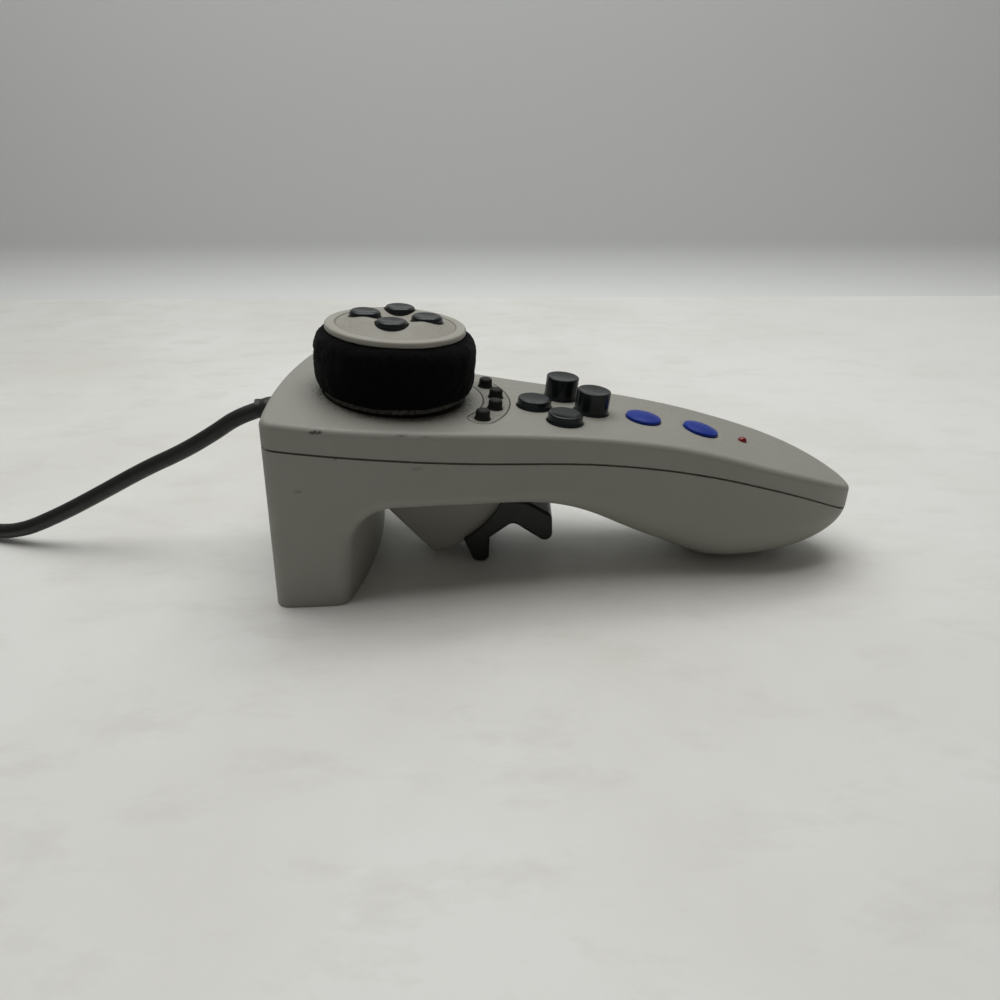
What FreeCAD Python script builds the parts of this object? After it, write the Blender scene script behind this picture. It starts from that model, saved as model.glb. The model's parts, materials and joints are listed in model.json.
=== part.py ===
"""One-handed racing wheel controller, about 209 mm long.

The casing is two plastic shells that meet on a curved seam. The front of the lower
shell is a broad leg, the rear is a rounded belly that fills the palm, and both rest on
the table. A small steering wheel with a foam grip stands on the front, with four
direction buttons in its cap. A crescent of four small buttons, a diamond of four large
ones, two centre buttons and a lamp follow along the deck. A two-armed trigger swings
below, round a wedge under the wheel.

Millimetres. X runs along the controller from the cable end to the handle end, Y runs
across it and Z is up. The origin is the middle of the box round the controller without
its cable, on the surface that it stands on.
"""
import FreeCAD, Part
import math
import os

from FreeCAD import Placement, Rotation, Vector

# Casing, driving sizes
FRONT_X = -105.25         # foremost point of the leg, at the table
NOSE_X = 103.95           # tip of the handle
WALL = 2.2
DECK_POINTS = [(-125, 72.3), (-102, 68.5), (-80, 65.0), (-45, 60.7), (-13, 57.5), (15, 54.5),
               (42, 49.7), (66, 43.1), (90, 34.8), (106, 26.8), (125, 14.3)]
SEAM_POINTS = [(-125, 63.5), (-98, 59.0), (-76, 55.7), (-49, 51.7), (-24, 48.75), (6, 46.55),
               (31, 43.45), (56, 38.6), (72, 34.2), (89, 27.6), (106, 18.4), (125, 7.0)]
GROOVE = 0.75             # height of the open line left along the seam
TOP_EDGE_RADIUS = 2.2

# Front block: the leg and the sides beside the wheel
FRONT_ARC_RADIUS = 250.0
FRONT_LEAN = 0.048        # how far the front face leans back for each millimetre of height
SIDE_POINTS = [(-125, 43.4), (-100, 42.8), (-90, 42.4), (-80, 41.5), (-70, 40.1), (-58, 37.85)]
UNDERSIDE_Z = 34.2
LEG_REAR_X = -72.6
LEG_REAR_RADIUS = 170.0
LEG_REAR_LEAN = 0.115
FRONT_CORNER_RADIUS = 5.0
ARCH_RADIUS = 12.0
SIDE_EDGE_RADIUS = 5.0
FOOT_EDGE_RADIUS = 0.6

# Handle sections from front to rear: place, half width, lowest point, radius of the lower corners
HANDLE_ROWS = [(-58, 37.8, 34.25, 4.95), (-50, 36.3, 33.9, 5.0), (-40, 34.1, 33.3, 5.0),
               (-28, 31.5, 32.5, 5.2), (-16, 29.2, 31.5, 6.0), (-5, 27.5, 29.1, 8.0),
               (6, 26.2, 24.1, 12.0), (16, 25.3, 18.1, 15.5), (27, 24.4, 11.7, 18.5),
               (38, 23.8, 6.4, 20.5), (46, 23.5, 2.6, 21.4), (52, 23.3, 0.7, 21.7),
               (56.5, 23.2, 0.03, 21.8)]
ABOVE_ALL = 90.0

# Wedge below the wheel and the trigger that swings round it
TRIGGER_PIVOT = (-60.1, 43.5)
WEDGE_RADIUS = 42.0
WEDGE_HALF = 10.5
WEDGE_WALL = 2.0
WEDGE_FRONT = [(-66.5, 21.2), (-49.6, 2.0)]
WEDGE_EDGE_RADIUS = 1.4
WEDGE_TIP_RADIUS = 3.0
WEDGE_TIP_REACH = 20.0    # the tip lies within this distance of the pivot, along X
TRIGGER_GAP = 0.5         # room between the trigger and the wedge, outside it and beside it
TRIGGER_HALF = 13.2
TRIGGER_CHEEK = 1.9       # how far the trigger's cheeks reach in over the wedge's sides
TRIGGER_FROM = -57.6      # degrees round the pivot where the arms meet the wedge
TRIGGER_TO = -25.0
# Corners of the two arms: degrees round the pivot, distance outside the wedge, rounding
TRIGGER_CORNERS = [(-59.9, 7.7, 2.3), (-54.6, 10.8, 2.5), (-46.8, 3.3, 1.5), (-33.7, 5.7, 3.0),
                   (-34.0, 23.6, 2.8), (-23.6, 16.9, 3.0), (-21.9, 6.6, 2.5)]
TRIGGER_EDGE_RADIUS = 1.2
TRIGGER_WEB = 3.2
TRIGGER_PUSH = 10.0       # degrees of swing towards the leg
TRIGGER_PULL = 5.0        # degrees of swing towards the handle
TRIGGER_HUB_RADIUS = 4.4
TRIGGER_HUB_HALF = 6.0
AXLE_RADIUS = 2.5
AXLE_NEAR = 15.2          # reach of the axle to each side
AXLE_FAR = 19.0
RUNNING_CLEARANCE = 0.05
EAR_INNER = 11.4
EAR_THICKNESS = 3.0
EAR_RADIUS = 5.0

# Steering wheel, in its own frame: the height is measured along the tilted axis
WHEEL_TILT = math.degrees(0.088)
WHEEL_CAP_TOP = (-60.36, 87.25)
WHEEL_HEIGHT = 24.4
BASE_RADIUS = 24.6
BASE_TOP = 2.3
BASE_BOTTOM = 0.3
DRUM_RADIUS = 21.0
DRUM_WALL = 1.8
DRUM_TOP = 20.0
FOAM_RADIUS = 28.4
FOAM_LOW_EDGE = (25.4, 6.0)     # radius at the base ring, and how far up the full radius begins
FOAM_HIGH_EDGE = (25.6, 5.2)    # radius under the cap, and how far down the full radius ends
CAP_RADIUS = 23.95
CAP_THICKNESS = 2.1
CAP_RIM_WIDTH = 3.75
CAP_RECESS = 0.25         # step down from the rim to the foot of the raised middle
CAP_RING = (11.7, 3.05, 7.0)    # corner of the raised ring: radius, height over the rim, rounding
CAP_DISH = (3.5, 1.0, 6.0)      # corner of the dished middle, measured alike
CAP_SKIRT_DEPTH = 4.0
SPINDLE_RADIUS = 5.0
SPINDLE_BORE = 2.6
SPINDLE_BOTTOM = -12.0
BUSH_WALL = 1.8
BUSH_BOTTOM = -6.0
BUSH_OUTER = SPINDLE_RADIUS + RUNNING_CLEARANCE + BUSH_WALL
BUSH_FLANGE = BUSH_OUTER + 2.0
BUSH_FLANGE_THICKNESS = 0.6
SEAT_DEPTH = 0.4
WHEEL_BOARD_Z = 12.0
WHEEL_BOARD_RADIUS = 17.5
WHEEL_POST_RADIUS = 2.6
WHEEL_POST_RING = 13.5
WHEEL_POSTS = [(WHEEL_POST_RING * math.cos(math.radians(a)), WHEEL_POST_RING * math.sin(math.radians(a)))
               for a in (45, 135, 225, 315)]

# Steering gears
GEAR_MODULE = 1.0
GEAR_TEETH = 30
PINION_TEETH = 15
GEAR_TOP = -6.2
GEAR_THICKNESS = 3.0
GEAR_BOTTOM = GEAR_TOP - GEAR_THICKNESS
GEAR_BACKLASH = 0.35
PINION_X = -GEAR_MODULE * (GEAR_TEETH + PINION_TEETH) / 2
CLIP_RADIUS = 7.4
CLIP_THICKNESS = 0.8
POT_SHAFT_RADIUS = 3.0
POT_RADIUS = 8.2
POT_HEIGHT = 7.0
POT_BUSH_RADIUS = 4.2
TRIGGER_POT_RADIUS = 6.5
BRACKET_TOP = -10.2
BRACKET_THICKNESS = 1.8
BRACKET_POSTS = [(-14.5, 15.5), (-14.5, -15.5), (20.5, 0.0)]
BRACKET_POST_RADIUS = 3.5
BRACKET_HALF_OUTLINE = [(-29.5, 8.0, 4.0), (-20.0, 20.5, 4.0), (-8.0, 20.5, 6.0), (25.5, 5.0, 4.0)]
SPRING_WIRE = 0.4         # radius of the wire of every spring

# Buttons
BUTTON_GAP = 0.2
BUTTON_FLANGE = 1.0
BUTTON_LIP = 0.9          # how far a button's flange reaches past its base
SEAT_GAP = 0.12
DPAD_SPACING = 10.5
DPAD_RADIUS = 5.3
DPAD_PROUD = 3.7
DPAD_SKIRT = 0.2          # how far the base stands out round the top
DPAD_EDGE = 1.3
DPAD_DISH = 0.35
DPAD_STEM = 2.6
DPAD_TRAVEL = 1.0
CRESCENT_X = WHEEL_CAP_TOP[0]
CRESCENT_RADIUS = 34.1
CRESCENT_HALF_WIDTH = 5.0
CRESCENT_HALF_ANGLE = 30.5
CRESCENT_GAP = 0.25
CRESCENT_LIP = 0.6
CRESCENT_LIP_DEPTH = 1.1
SMALL_ANGLES = [30.0, 10.0, -10.0, -30.0]
SMALL_RADIUS = 2.4
SMALL_BASE_RADIUS = 2.7
SMALL_PROUD = 3.3
SMALL_EDGE = 0.9
SMALL_STEM = 1.4
SMALL_TRAVEL = 1.0
DIAMOND_X = -2.7
DIAMOND_HALF_X = 10.2
DIAMOND_HALF_Y = 12.7
FACE_RADIUS = 6.0
FACE_BASE_RADIUS = 6.4
FACE_LOW = 3.1
FACE_TALL = 8.1
FACE_EDGE = 0.5
FACE_DISH = 0.5
FACE_STEM = 3.0
FACE_TRAVEL = 1.5
CENTRE_XS = [26.5, 47.5]
CENTRE_RADIUS = 6.35
CENTRE_PROUD = 1.9
CENTRE_CROWN = 18.0       # radius of the domed top
CENTRE_EDGE = 0.5
CENTRE_STEM = 3.0
CENTRE_TRAVEL = 1.0
DISH_RADIUS = 8.6
DISH_DEPTH = 0.7
LAMP_X = 63.2
LAMP_RADIUS = 1.6
LAMP_PROUD = 1.5
LAMP_DEPTH = 6.0
STEM_GAP = 0.3            # between a pressed stem and its dome

# Main circuit board, a flat plate that follows the slope of the deck
BOARD_X0 = -37.0
BOARD_X1 = 66.0
BOARD_Z0 = 46.6
BOARD_SLOPE = 0.143
BOARD_HALF = 17.0
BOARD_THICKNESS = 1.6
MAT_THICKNESS = 1.0
DOME_HEIGHT = 2.2
BOARD_POSTS = [(-17.5, 14.5), (-17.5, -14.5), (17.0, 14.0), (17.0, -14.0), (55.5, 12.0), (55.5, -12.0)]
BOARD_POST_RADIUS = 2.8
BOARD_WIDE_HALF = 22.0    # under the small buttons
BOARD_WIDE_LENGTH = 48.0
BOARD_SCREW_RADIUS = 1.0
BOARD_SCREW_HEAD = 2.0
BOARD_SCREW_DEPTH = 5.5
CONNECTOR = (6.0, 10.0, 4.5)    # length, width and height
CONNECTOR_U = 2.0
CONNECTOR_V = 9.0
CHIPS = [((24.0, -4.0), (12.0, 8.0, 1.8)), ((44.0, 4.0), (6.0, 5.0, 1.5)), ((44.0, -8.0), (5.0, 3.0, 3.2))]
CAPACITOR = (60.0, 3.0, 2.5, 5.5)       # place, radius and height
MAT_MARGIN = 1.0          # room between neighbouring mats and round their domes

# Screws that hold the shells together: place and the height where the two posts meet
SHELL_SCREWS = [(-90.0, 30.0, 40.0), (-90.0, -30.0, 40.0), (-43.0, 26.0, 44.5), (-43.0, -26.0, 44.5),
                (82.0, 0.0, 18.0)]
POST_RADIUS = 4.6
SCREW_RADIUS = 1.5
SCREW_HEAD_RADIUS = 2.8
SCREW_LENGTH = 12.0
SCREW_SEAT = 3.0

# Cable
CABLE_RADIUS = 2.9
CABLE_EXIT = (-111.6, 56.4)
RELIEF_RADIUS = 4.9
RELIEF_FLANGE = 1.4       # how far the flange inside the wall stands out
RELIEF_FLANGE_THICKNESS = 1.6
RELIEF_INNER_X = (FRONT_X + FRONT_LEAN * (CABLE_EXIT[1] + RELIEF_RADIUS + RELIEF_FLANGE) + WALL + SEAT_GAP
                  + RELIEF_FLANGE_THICKNESS)
LEAD_ROUTE = [(-111.6, 0.0, 56.4), (-119.5, 0.0, 54.0), (-129.5, 0.1, 47.4), (-142.5, 0.0, 40.0),
              (-158.0, -0.3, 33.2), (-176.0, -0.4, 23.6), (-196.0, 0.4, 13.2), (-216.0, 2.2, 4.4),
              (-236.0, 7.6, 3.0), (-256.0, 13.4, 3.6), (-276.0, 13.4, 3.6)]
COIL_CENTRE = (-276.0, -31.5)
COIL_OUTER = 44.9         # radius of the outermost turn, to the middle of the cable
COIL_PITCH = 6.5
COIL_TURNS = 4
COIL_RISE = 6.3
COIL_LIFT = 0.7
COIL_END = 2 * COIL_TURNS + 0.5
TAIL_STEPS = (9.0, 19.0, 28.0)
TAIL_SIDE = -0.6
TIE_WIDTH = 7.0
TIE_BAND = 0.6
PLUG_LENGTH = 31.0
PLUG_WIDTH = 17.0
PLUG_HEIGHT = 13.0
PLUG_NECK = 5.0
PLUG_EDGE_RADIUS = 3.0
PLUG_GROOVES = 4
PLUG_GROOVE = (1.2, 0.8, 3.0)   # width, depth and spacing
SHELL_LENGTH = 8.0
SHELL_WALL = 1.0
SHELL_STEP = 2.0          # how far the shell lies inside the plug's outline
INNER_LEAD_RADIUS = 1.6
WHEEL_LEAD_RADIUS = 0.8


def curve_through(points):
    """The smooth curve through (x, z) points, in the plane Y = 0."""
    curve = Part.BSplineCurve()
    curve.interpolate([Vector(x, 0, z) for x, z in points])
    return curve


def height_on(curve, x):
    """The height of a curve that runs steadily along X, at one place."""
    low = curve.FirstParameter
    high = curve.LastParameter
    for _ in range(50):
        middle = (low + high) / 2
        if curve.value(middle).x < x:
            low = middle
        else:
            high = middle
    return curve.value(low).z


DECK = curve_through(DECK_POINTS)
SEAM = curve_through(SEAM_POINTS)


def deck_z(x):
    return height_on(DECK, x)


def deck_angle(x):
    """How far the deck's normal leans towards +X, in degrees."""
    return math.degrees(math.atan(deck_z(x - 0.5) - deck_z(x + 0.5)))


def rounded_wire(corners, place):
    """A closed wire through (u, v, radius) corners; place turns (u, v) into a point."""
    edges = []
    count = len(corners)
    starts = []
    ends = []
    for i, (u, v, radius) in enumerate(corners):
        here = Vector(u, v, 0)
        before = Vector(*corners[i - 1][:2], 0) - here
        after = Vector(*corners[(i + 1) % count][:2], 0) - here
        before.normalize()
        after.normalize()
        half = before.getAngle(after) / 2
        back = radius / math.tan(half)
        bisector = (before + after).normalize()
        middle = here + bisector * (radius / math.sin(half) - radius)
        starts.append((here + before * back, middle))
        ends.append(here + after * back)
    for i in range(count):
        first, middle = starts[i]
        last = ends[i]
        if corners[i][2] > 0:
            edges.append(Part.Arc(place(first), place(middle), place(last)).toShape())
        following = starts[(i + 1) % count][0]
        if (following - last).Length > 1e-6:
            edges.append(Part.LineSegment(place(last), place(following)).toShape())
    return Part.Wire(edges)


def side_plate(corners, y0, y1):
    """A plate of an outline in the XZ plane, from y0 to y1."""
    wire = rounded_wire(corners, lambda p: Vector(p.x, y0, p.y))
    return Part.Face(wire).extrude(Vector(0, y1 - y0, 0))


def under_curve(curve, drop, low=-20.0, half=70.0):
    """Everything below a curve that is lowered by drop, as a block across Y."""
    lowered = curve.copy()
    lowered.translate(Vector(0, -half, -drop))
    first = lowered.value(lowered.FirstParameter)
    last = lowered.value(lowered.LastParameter)
    corner_a = Vector(last.x, -half, low)
    corner_b = Vector(first.x, -half, low)
    wire = Part.Wire([lowered.toShape(), Part.LineSegment(last, corner_a).toShape(),
                      Part.LineSegment(corner_a, corner_b).toShape(),
                      Part.LineSegment(corner_b, first).toShape()])
    return Part.Face(wire).extrude(Vector(0, 2 * half, 0))


def handle_section(x, half, low, radius, inset):
    """One upright section of the handle: straight sides on a rounded bottom."""
    w = half - inset
    z = low + inset
    r = radius - inset
    bend = r * (1 - math.sqrt(0.5))
    def at(y, height):
        return Vector(x, y, height)
    edges = [
        Part.LineSegment(at(-w, ABOVE_ALL), at(-w, z + r)),
        Part.Arc(at(-w, z + r), at(-w + bend, z + bend), at(-w + r, z)),
        Part.LineSegment(at(-w + r, z), at(w - r, z)),
        Part.Arc(at(w - r, z), at(w - bend, z + bend), at(w, z + r)),
        Part.LineSegment(at(w, z + r), at(w, ABOVE_ALL)),
        Part.LineSegment(at(w, ABOVE_ALL), at(-w, ABOVE_ALL)),
    ]
    return Part.Wire([edge.toShape() for edge in edges])


def nose_form(inset):
    """The end of the handle: an elliptic wall over a quarter of a rounded belly."""
    start, half, low, radius = HANDLE_ROWS[-1]
    strip = half - radius
    centre_z = low + radius
    long_axis = NOSE_X - start - inset
    short_axis = radius - inset
    ellipse = Part.Ellipse(Vector(start, 0, centre_z), long_axis, short_axis)
    ellipse.Axis = Vector(0, 1, 0)
    ellipse.XAxis = Vector(1, 0, 0)
    tip = Vector(start + long_axis, 0, centre_z)
    centre = Vector(start, 0, centre_z)
    bottom = Vector(start, 0, centre_z - short_axis)
    quarter = Part.ArcOfEllipse(ellipse, 0, math.pi / 2).toShape()
    if (quarter.valueAt(quarter.LastParameter) - bottom).Length > 0.01:
        quarter = Part.ArcOfEllipse(ellipse, -math.pi / 2, 0).toShape()
    profile = Part.Face(Part.Wire(Part.__sortEdges__(
        [quarter, Part.LineSegment(bottom, centre).toShape(), Part.LineSegment(centre, tip).toShape()])))
    near = profile.revolve(centre, Vector(1, 0, 0), 90)
    far = profile.revolve(centre, Vector(1, 0, 0), -90)
    if near.CenterOfMass.y > 0:
        near, far = far, near
    near.translate(Vector(0, -strip, 0))
    far.translate(Vector(0, strip, 0))
    middle = profile.copy()
    middle.translate(Vector(0, -strip, 0))
    middle = middle.extrude(Vector(0, 2 * strip, 0))
    wall_edges = []
    for side in (-1, 1):
        plan = Part.Ellipse(Vector(start, side * strip, centre_z), long_axis, short_axis)
        first = 0 if side > 0 else -math.pi / 2
        wall_edges.append(Part.ArcOfEllipse(plan, first, first + math.pi / 2).toShape())
    outer = strip + short_axis
    wall_edges.append(Part.LineSegment(tip + Vector(0, -strip, 0), tip + Vector(0, strip, 0)).toShape())
    ends = [Vector(start, side * outer, centre_z) for side in (-1, 1)]
    wall_edges.append(Part.LineSegment(*ends).toShape())
    wall = Part.Face(Part.Wire(Part.__sortEdges__(wall_edges)))
    wall = wall.extrude(Vector(0, 0, ABOVE_ALL - centre_z))
    return near.multiFuse([far, middle, wall])


def arc_region(apex_at, radius, bulge, side, z0, z1):
    """The space on one side, -1 or 1, of a leaning arc that bulges towards -X or +X."""
    reach = 60.0
    depth = 110.0
    sag = radius - math.sqrt(radius ** 2 - reach ** 2)
    wires = []
    for z in (z0, z1):
        apex = apex_at(z)
        ends = [Vector(apex - bulge * sag, y, z) for y in (-reach, reach)]
        far = [Vector(apex + side * depth, y, z) for y in (reach, -reach)]
        wires.append(Part.Wire([
            Part.Arc(ends[0], Vector(apex, 0, z), ends[1]).toShape(),
            Part.LineSegment(ends[1], far[0]).toShape(),
            Part.LineSegment(far[0], far[1]).toShape(),
            Part.LineSegment(far[1], ends[0]).toShape()]))
    return Part.makeLoft(wires, True, True)


def fillet_where(shape, radius, test):
    """Rounds the edges whose ends and middle all pass the test."""
    chosen = []
    for edge in shape.Edges:
        first, last = edge.ParameterRange
        spots = [edge.valueAt(first + (last - first) * share) for share in (0.02, 0.5, 0.98)]
        if all(test(spot) for spot in spots):
            chosen.append(edge)
    return shape.makeFillet(radius, chosen)


def front_form(inset, rounded):
    """The leg with the block above it, up to where the handle begins."""
    join = HANDLE_ROWS[0][0]
    side = Part.BSplineCurve()
    points = [Vector(x, y - inset, 0) for x, y in SIDE_POINTS]
    side.interpolate(points)
    near = side.toShape().mirror(Vector(0, 0, 0), Vector(0, 1, 0))
    ends = [points[0], points[-1]]
    outline = Part.Face(Part.Wire(Part.__sortEdges__([
        side.toShape(), near,
        Part.LineSegment(ends[0], Vector(ends[0].x, -ends[0].y, 0)).toShape(),
        Part.LineSegment(ends[1], Vector(ends[1].x, -ends[1].y, 0)).toShape()])))
    under = UNDERSIDE_Z + inset
    behind_front = arc_region(lambda z: FRONT_X + inset + FRONT_LEAN * z, FRONT_ARC_RADIUS - inset, -1, 1,
                              inset, ABOVE_ALL)
    arch = arc_region(lambda z: LEG_REAR_X - inset + LEG_REAR_LEAN * z, LEG_REAR_RADIUS - inset, 1, 1,
                      inset - 10, under)
    if rounded:
        arch = fillet_where(arch, ARCH_RADIUS, lambda p: abs(p.z - under) < 0.01 and p.x < join)
    outline.translate(Vector(0, 0, inset))
    form = outline.extrude(Vector(0, 0, ABOVE_ALL - inset)).common(behind_front).cut(arch)
    if not rounded:
        return form

    def on_side(p):
        return abs(abs(p.y) - side_width(p.x)) < 0.05

    def on_front(p):
        sag = FRONT_ARC_RADIUS - math.sqrt(FRONT_ARC_RADIUS ** 2 - p.y ** 2)
        return abs(p.x - (FRONT_X + FRONT_LEAN * p.z + sag)) < 0.3

    form = fillet_where(form, FRONT_CORNER_RADIUS, lambda p: on_side(p) and on_front(p) and p.z > -1)
    form = fillet_where(form, SIDE_EDGE_RADIUS,
                        lambda p: on_side(p) and p.x > -85 and 0.0 < p.z < under + 1 and p.x < join - 0.01)
    return fillet_where(form, FOOT_EDGE_RADIUS, lambda p: abs(p.z) < 0.01)


def side_width(x):
    """Half width of the front block at one place."""
    curve = curve_through(SIDE_POINTS)
    return height_on(curve, x)


def casing_form(inset, rounded=False):
    """The whole casing as one solid, moved inwards by inset all round."""
    sections = [handle_section(*row, inset) for row in HANDLE_ROWS]
    handle = Part.makeLoft(sections, True, False)
    form = front_form(inset, rounded).multiFuse([handle, nose_form(inset)])
    form = form.removeSplitter().common(under_curve(DECK, inset))
    if rounded:
        form = fillet_where(form, TOP_EDGE_RADIUS, lambda p: abs(p.z - deck_z(p.x)) < 0.02)
    return form


def deck_place(x, y):
    """The frame of a piece that stands square on the deck."""
    return Placement(Vector(x, y, deck_z(x)), Rotation(Vector(0, 1, 0), deck_angle(x)))


def wheel_place():
    """The frame of the wheel: its origin is where the axis meets the deck."""
    tilt = math.radians(WHEEL_TILT)
    x, z = WHEEL_CAP_TOP
    origin = Vector(x - WHEEL_HEIGHT * math.sin(tilt), 0, z - WHEEL_HEIGHT * math.cos(tilt))
    return Placement(origin, Rotation(Vector(0, 1, 0), WHEEL_TILT))


def board_place():
    """The frame of the main board: its top face is the plane w = 0."""
    slope = math.degrees(math.atan(BOARD_SLOPE))
    return Placement(Vector(BOARD_X0, 0, BOARD_Z0), Rotation(Vector(0, 1, 0), slope))


WHEEL = wheel_place()
BOARD = board_place()


def placed(shape, frame):
    """A copy of a shape, moved from its own frame to its place."""
    moved = shape.copy()
    moved.Placement = frame.multiply(moved.Placement)
    return moved


def turned(corners):
    """A solid of revolution about Z through (radius, height, rounding) corners."""
    wire = rounded_wire(corners, lambda p: Vector(p.x, 0, p.y))
    return Part.Face(wire).revolve(Vector(0, 0, 0), Vector(0, 0, 1), 360)


def rod(radius, x, y, z0, z1):
    return Part.makeCylinder(radius, z1 - z0, Vector(x, y, z0))


def plate(corners, z0, z1):
    """A plate of an outline in the XY plane, from z0 to z1."""
    wire = rounded_wire(corners, lambda p: Vector(p.x, p.y, z0))
    return Part.Face(wire).extrude(Vector(0, 0, z1 - z0))


def pie(radius0, radius1, angle0, angle1, half):
    """A block between two radii and two angles round the trigger's pivot."""
    px, pz = TRIGGER_PIVOT
    def at(radius, angle):
        turn = math.radians(angle)
        return Vector(px + radius * math.cos(turn), -half, pz + radius * math.sin(turn))
    middle = (angle0 + angle1) / 2
    edges = [Part.Arc(at(radius1, angle0), at(radius1, middle), at(radius1, angle1)),
             Part.LineSegment(at(radius1, angle1), at(radius0, angle1)),
             Part.Arc(at(radius0, angle1), at(radius0, middle), at(radius0, angle0)),
             Part.LineSegment(at(radius0, angle0), at(radius1, angle0))]
    return Part.Face(Part.Wire([edge.toShape() for edge in edges])).extrude(Vector(0, 2 * half, 0))


def crescent(grow, z0, z1):
    """The curved slot shape of the small-button panel, round the wheel's axis."""
    half = CRESCENT_HALF_WIDTH + grow
    def at(radius, angle):
        turn = math.radians(angle)
        return Vector(CRESCENT_X + radius * math.cos(turn), radius * math.sin(turn), z0)
    inner = CRESCENT_RADIUS - half
    outer = CRESCENT_RADIUS + half
    end = CRESCENT_HALF_ANGLE
    def cap(sign):
        turn = math.radians(sign * end)
        along = Vector(-math.sin(turn), math.cos(turn), 0) * (sign * half)
        return at(CRESCENT_RADIUS, sign * end) + along
    edges = [Part.Arc(at(outer, -end), at(outer, 0), at(outer, end)),
             Part.Arc(at(outer, end), cap(1), at(inner, end)),
             Part.Arc(at(inner, end), at(inner, 0), at(inner, -end)),
             Part.Arc(at(inner, -end), cap(-1), at(outer, -end))]
    return Part.Face(Part.Wire([edge.toShape() for edge in edges])).extrude(Vector(0, 0, z1 - z0))


def button_depth(x, travel):
    """How far below the deck a button's stem ends, above its dome on the board."""
    height = deck_z(x) - (BOARD_Z0 - BOARD_SLOPE * (x - BOARD_X0))
    return height * math.cos(math.radians(deck_angle(x))) - MAT_THICKNESS - DOME_HEIGHT - travel - STEM_GAP


def dish_ball(reach, depth):
    """Radius of the ball that makes a dish of a radius and a depth."""
    return (reach ** 2 + depth ** 2) / (2 * depth)


def button(radius, base_radius, proud, edge, dish, depth, stem):
    """A button in its own frame, where the deck's surface is at height 0."""
    seat = -WALL - SEAT_GAP
    flange = base_radius + BUTTON_LIP
    body = turned([(0, -depth, 0), (stem, -depth, 0), (stem, seat - BUTTON_FLANGE, 0),
                   (flange, seat - BUTTON_FLANGE, 0), (flange, seat, 0), (base_radius, seat, 0),
                   (base_radius, 0.3, 0), (radius + 0.05, 1.0, 0.4), (radius, proud, edge), (0, proud, 0)])
    if dish > 0:
        ball = dish_ball(radius - edge - 0.3, dish)
        body = body.cut(Part.makeSphere(ball, Vector(0, 0, proud + ball - dish)))
    return body


def small_spots():
    """Places of the four small buttons on the crescent."""
    spots = []
    for angle in SMALL_ANGLES:
        turn = math.radians(angle)
        spots.append((CRESCENT_X + CRESCENT_RADIUS * math.cos(turn), CRESCENT_RADIUS * math.sin(turn)))
    return spots


FACE_SPOTS = [("left", DIAMOND_X - DIAMOND_HALF_X, 0.0, FACE_LOW),
              ("far", DIAMOND_X, DIAMOND_HALF_Y, FACE_TALL),
              ("right", DIAMOND_X + DIAMOND_HALF_X, 0.0, FACE_TALL),
              ("near", DIAMOND_X, -DIAMOND_HALF_Y, FACE_LOW)]
DPAD_SPOTS = [("left", -DPAD_SPACING, 0.0), ("right", DPAD_SPACING, 0.0),
              ("near", 0.0, -DPAD_SPACING), ("far", 0.0, DPAD_SPACING)]


def wedge_shape(grow, half, top):
    """The pie slice below the wheel; grow is negative for the space inside it."""
    px, pz = TRIGGER_PIVOT
    radius = WEDGE_RADIUS + grow
    (ax, az), (bx, bz) = WEDGE_FRONT
    slope = Vector(bx - ax, bz - az, 0).normalize()
    outward = Vector(slope.y, -slope.x, 0)
    if outward.x > 0:
        outward = outward * -1
    start = Vector(ax, az, 0) + outward * grow
    along = start - Vector(px, pz, 0)
    share = along.dot(slope)
    reach = -share + math.sqrt(share ** 2 - along.dot(along) + radius ** 2)
    tip = start + slope * reach
    first = math.degrees(math.atan2(tip.y - pz, tip.x - px))
    last = math.degrees(math.asin((top - pz) / radius))
    def at(angle):
        turn = math.radians(angle)
        return Vector(px + radius * math.cos(turn), -half, pz + radius * math.sin(turn))
    corner = Vector(start.x, -half, top)
    edges = [Part.LineSegment(corner, Vector(start.x, -half, start.y)),
             Part.LineSegment(Vector(start.x, -half, start.y), Vector(tip.x, -half, tip.y)),
             Part.Arc(Vector(tip.x, -half, tip.y), at((first + last) / 2), at(last)),
             Part.LineSegment(at(last), corner)]
    return Part.Face(Part.Wire([edge.toShape() for edge in edges])).extrude(Vector(0, 2 * half, 0))


def across(radius, y0, y1):
    """A round bar along the trigger's axis."""
    px, pz = TRIGGER_PIVOT
    return Part.makeCylinder(radius, y1 - y0, Vector(px, y0, pz), Vector(0, 1, 0))


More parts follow.
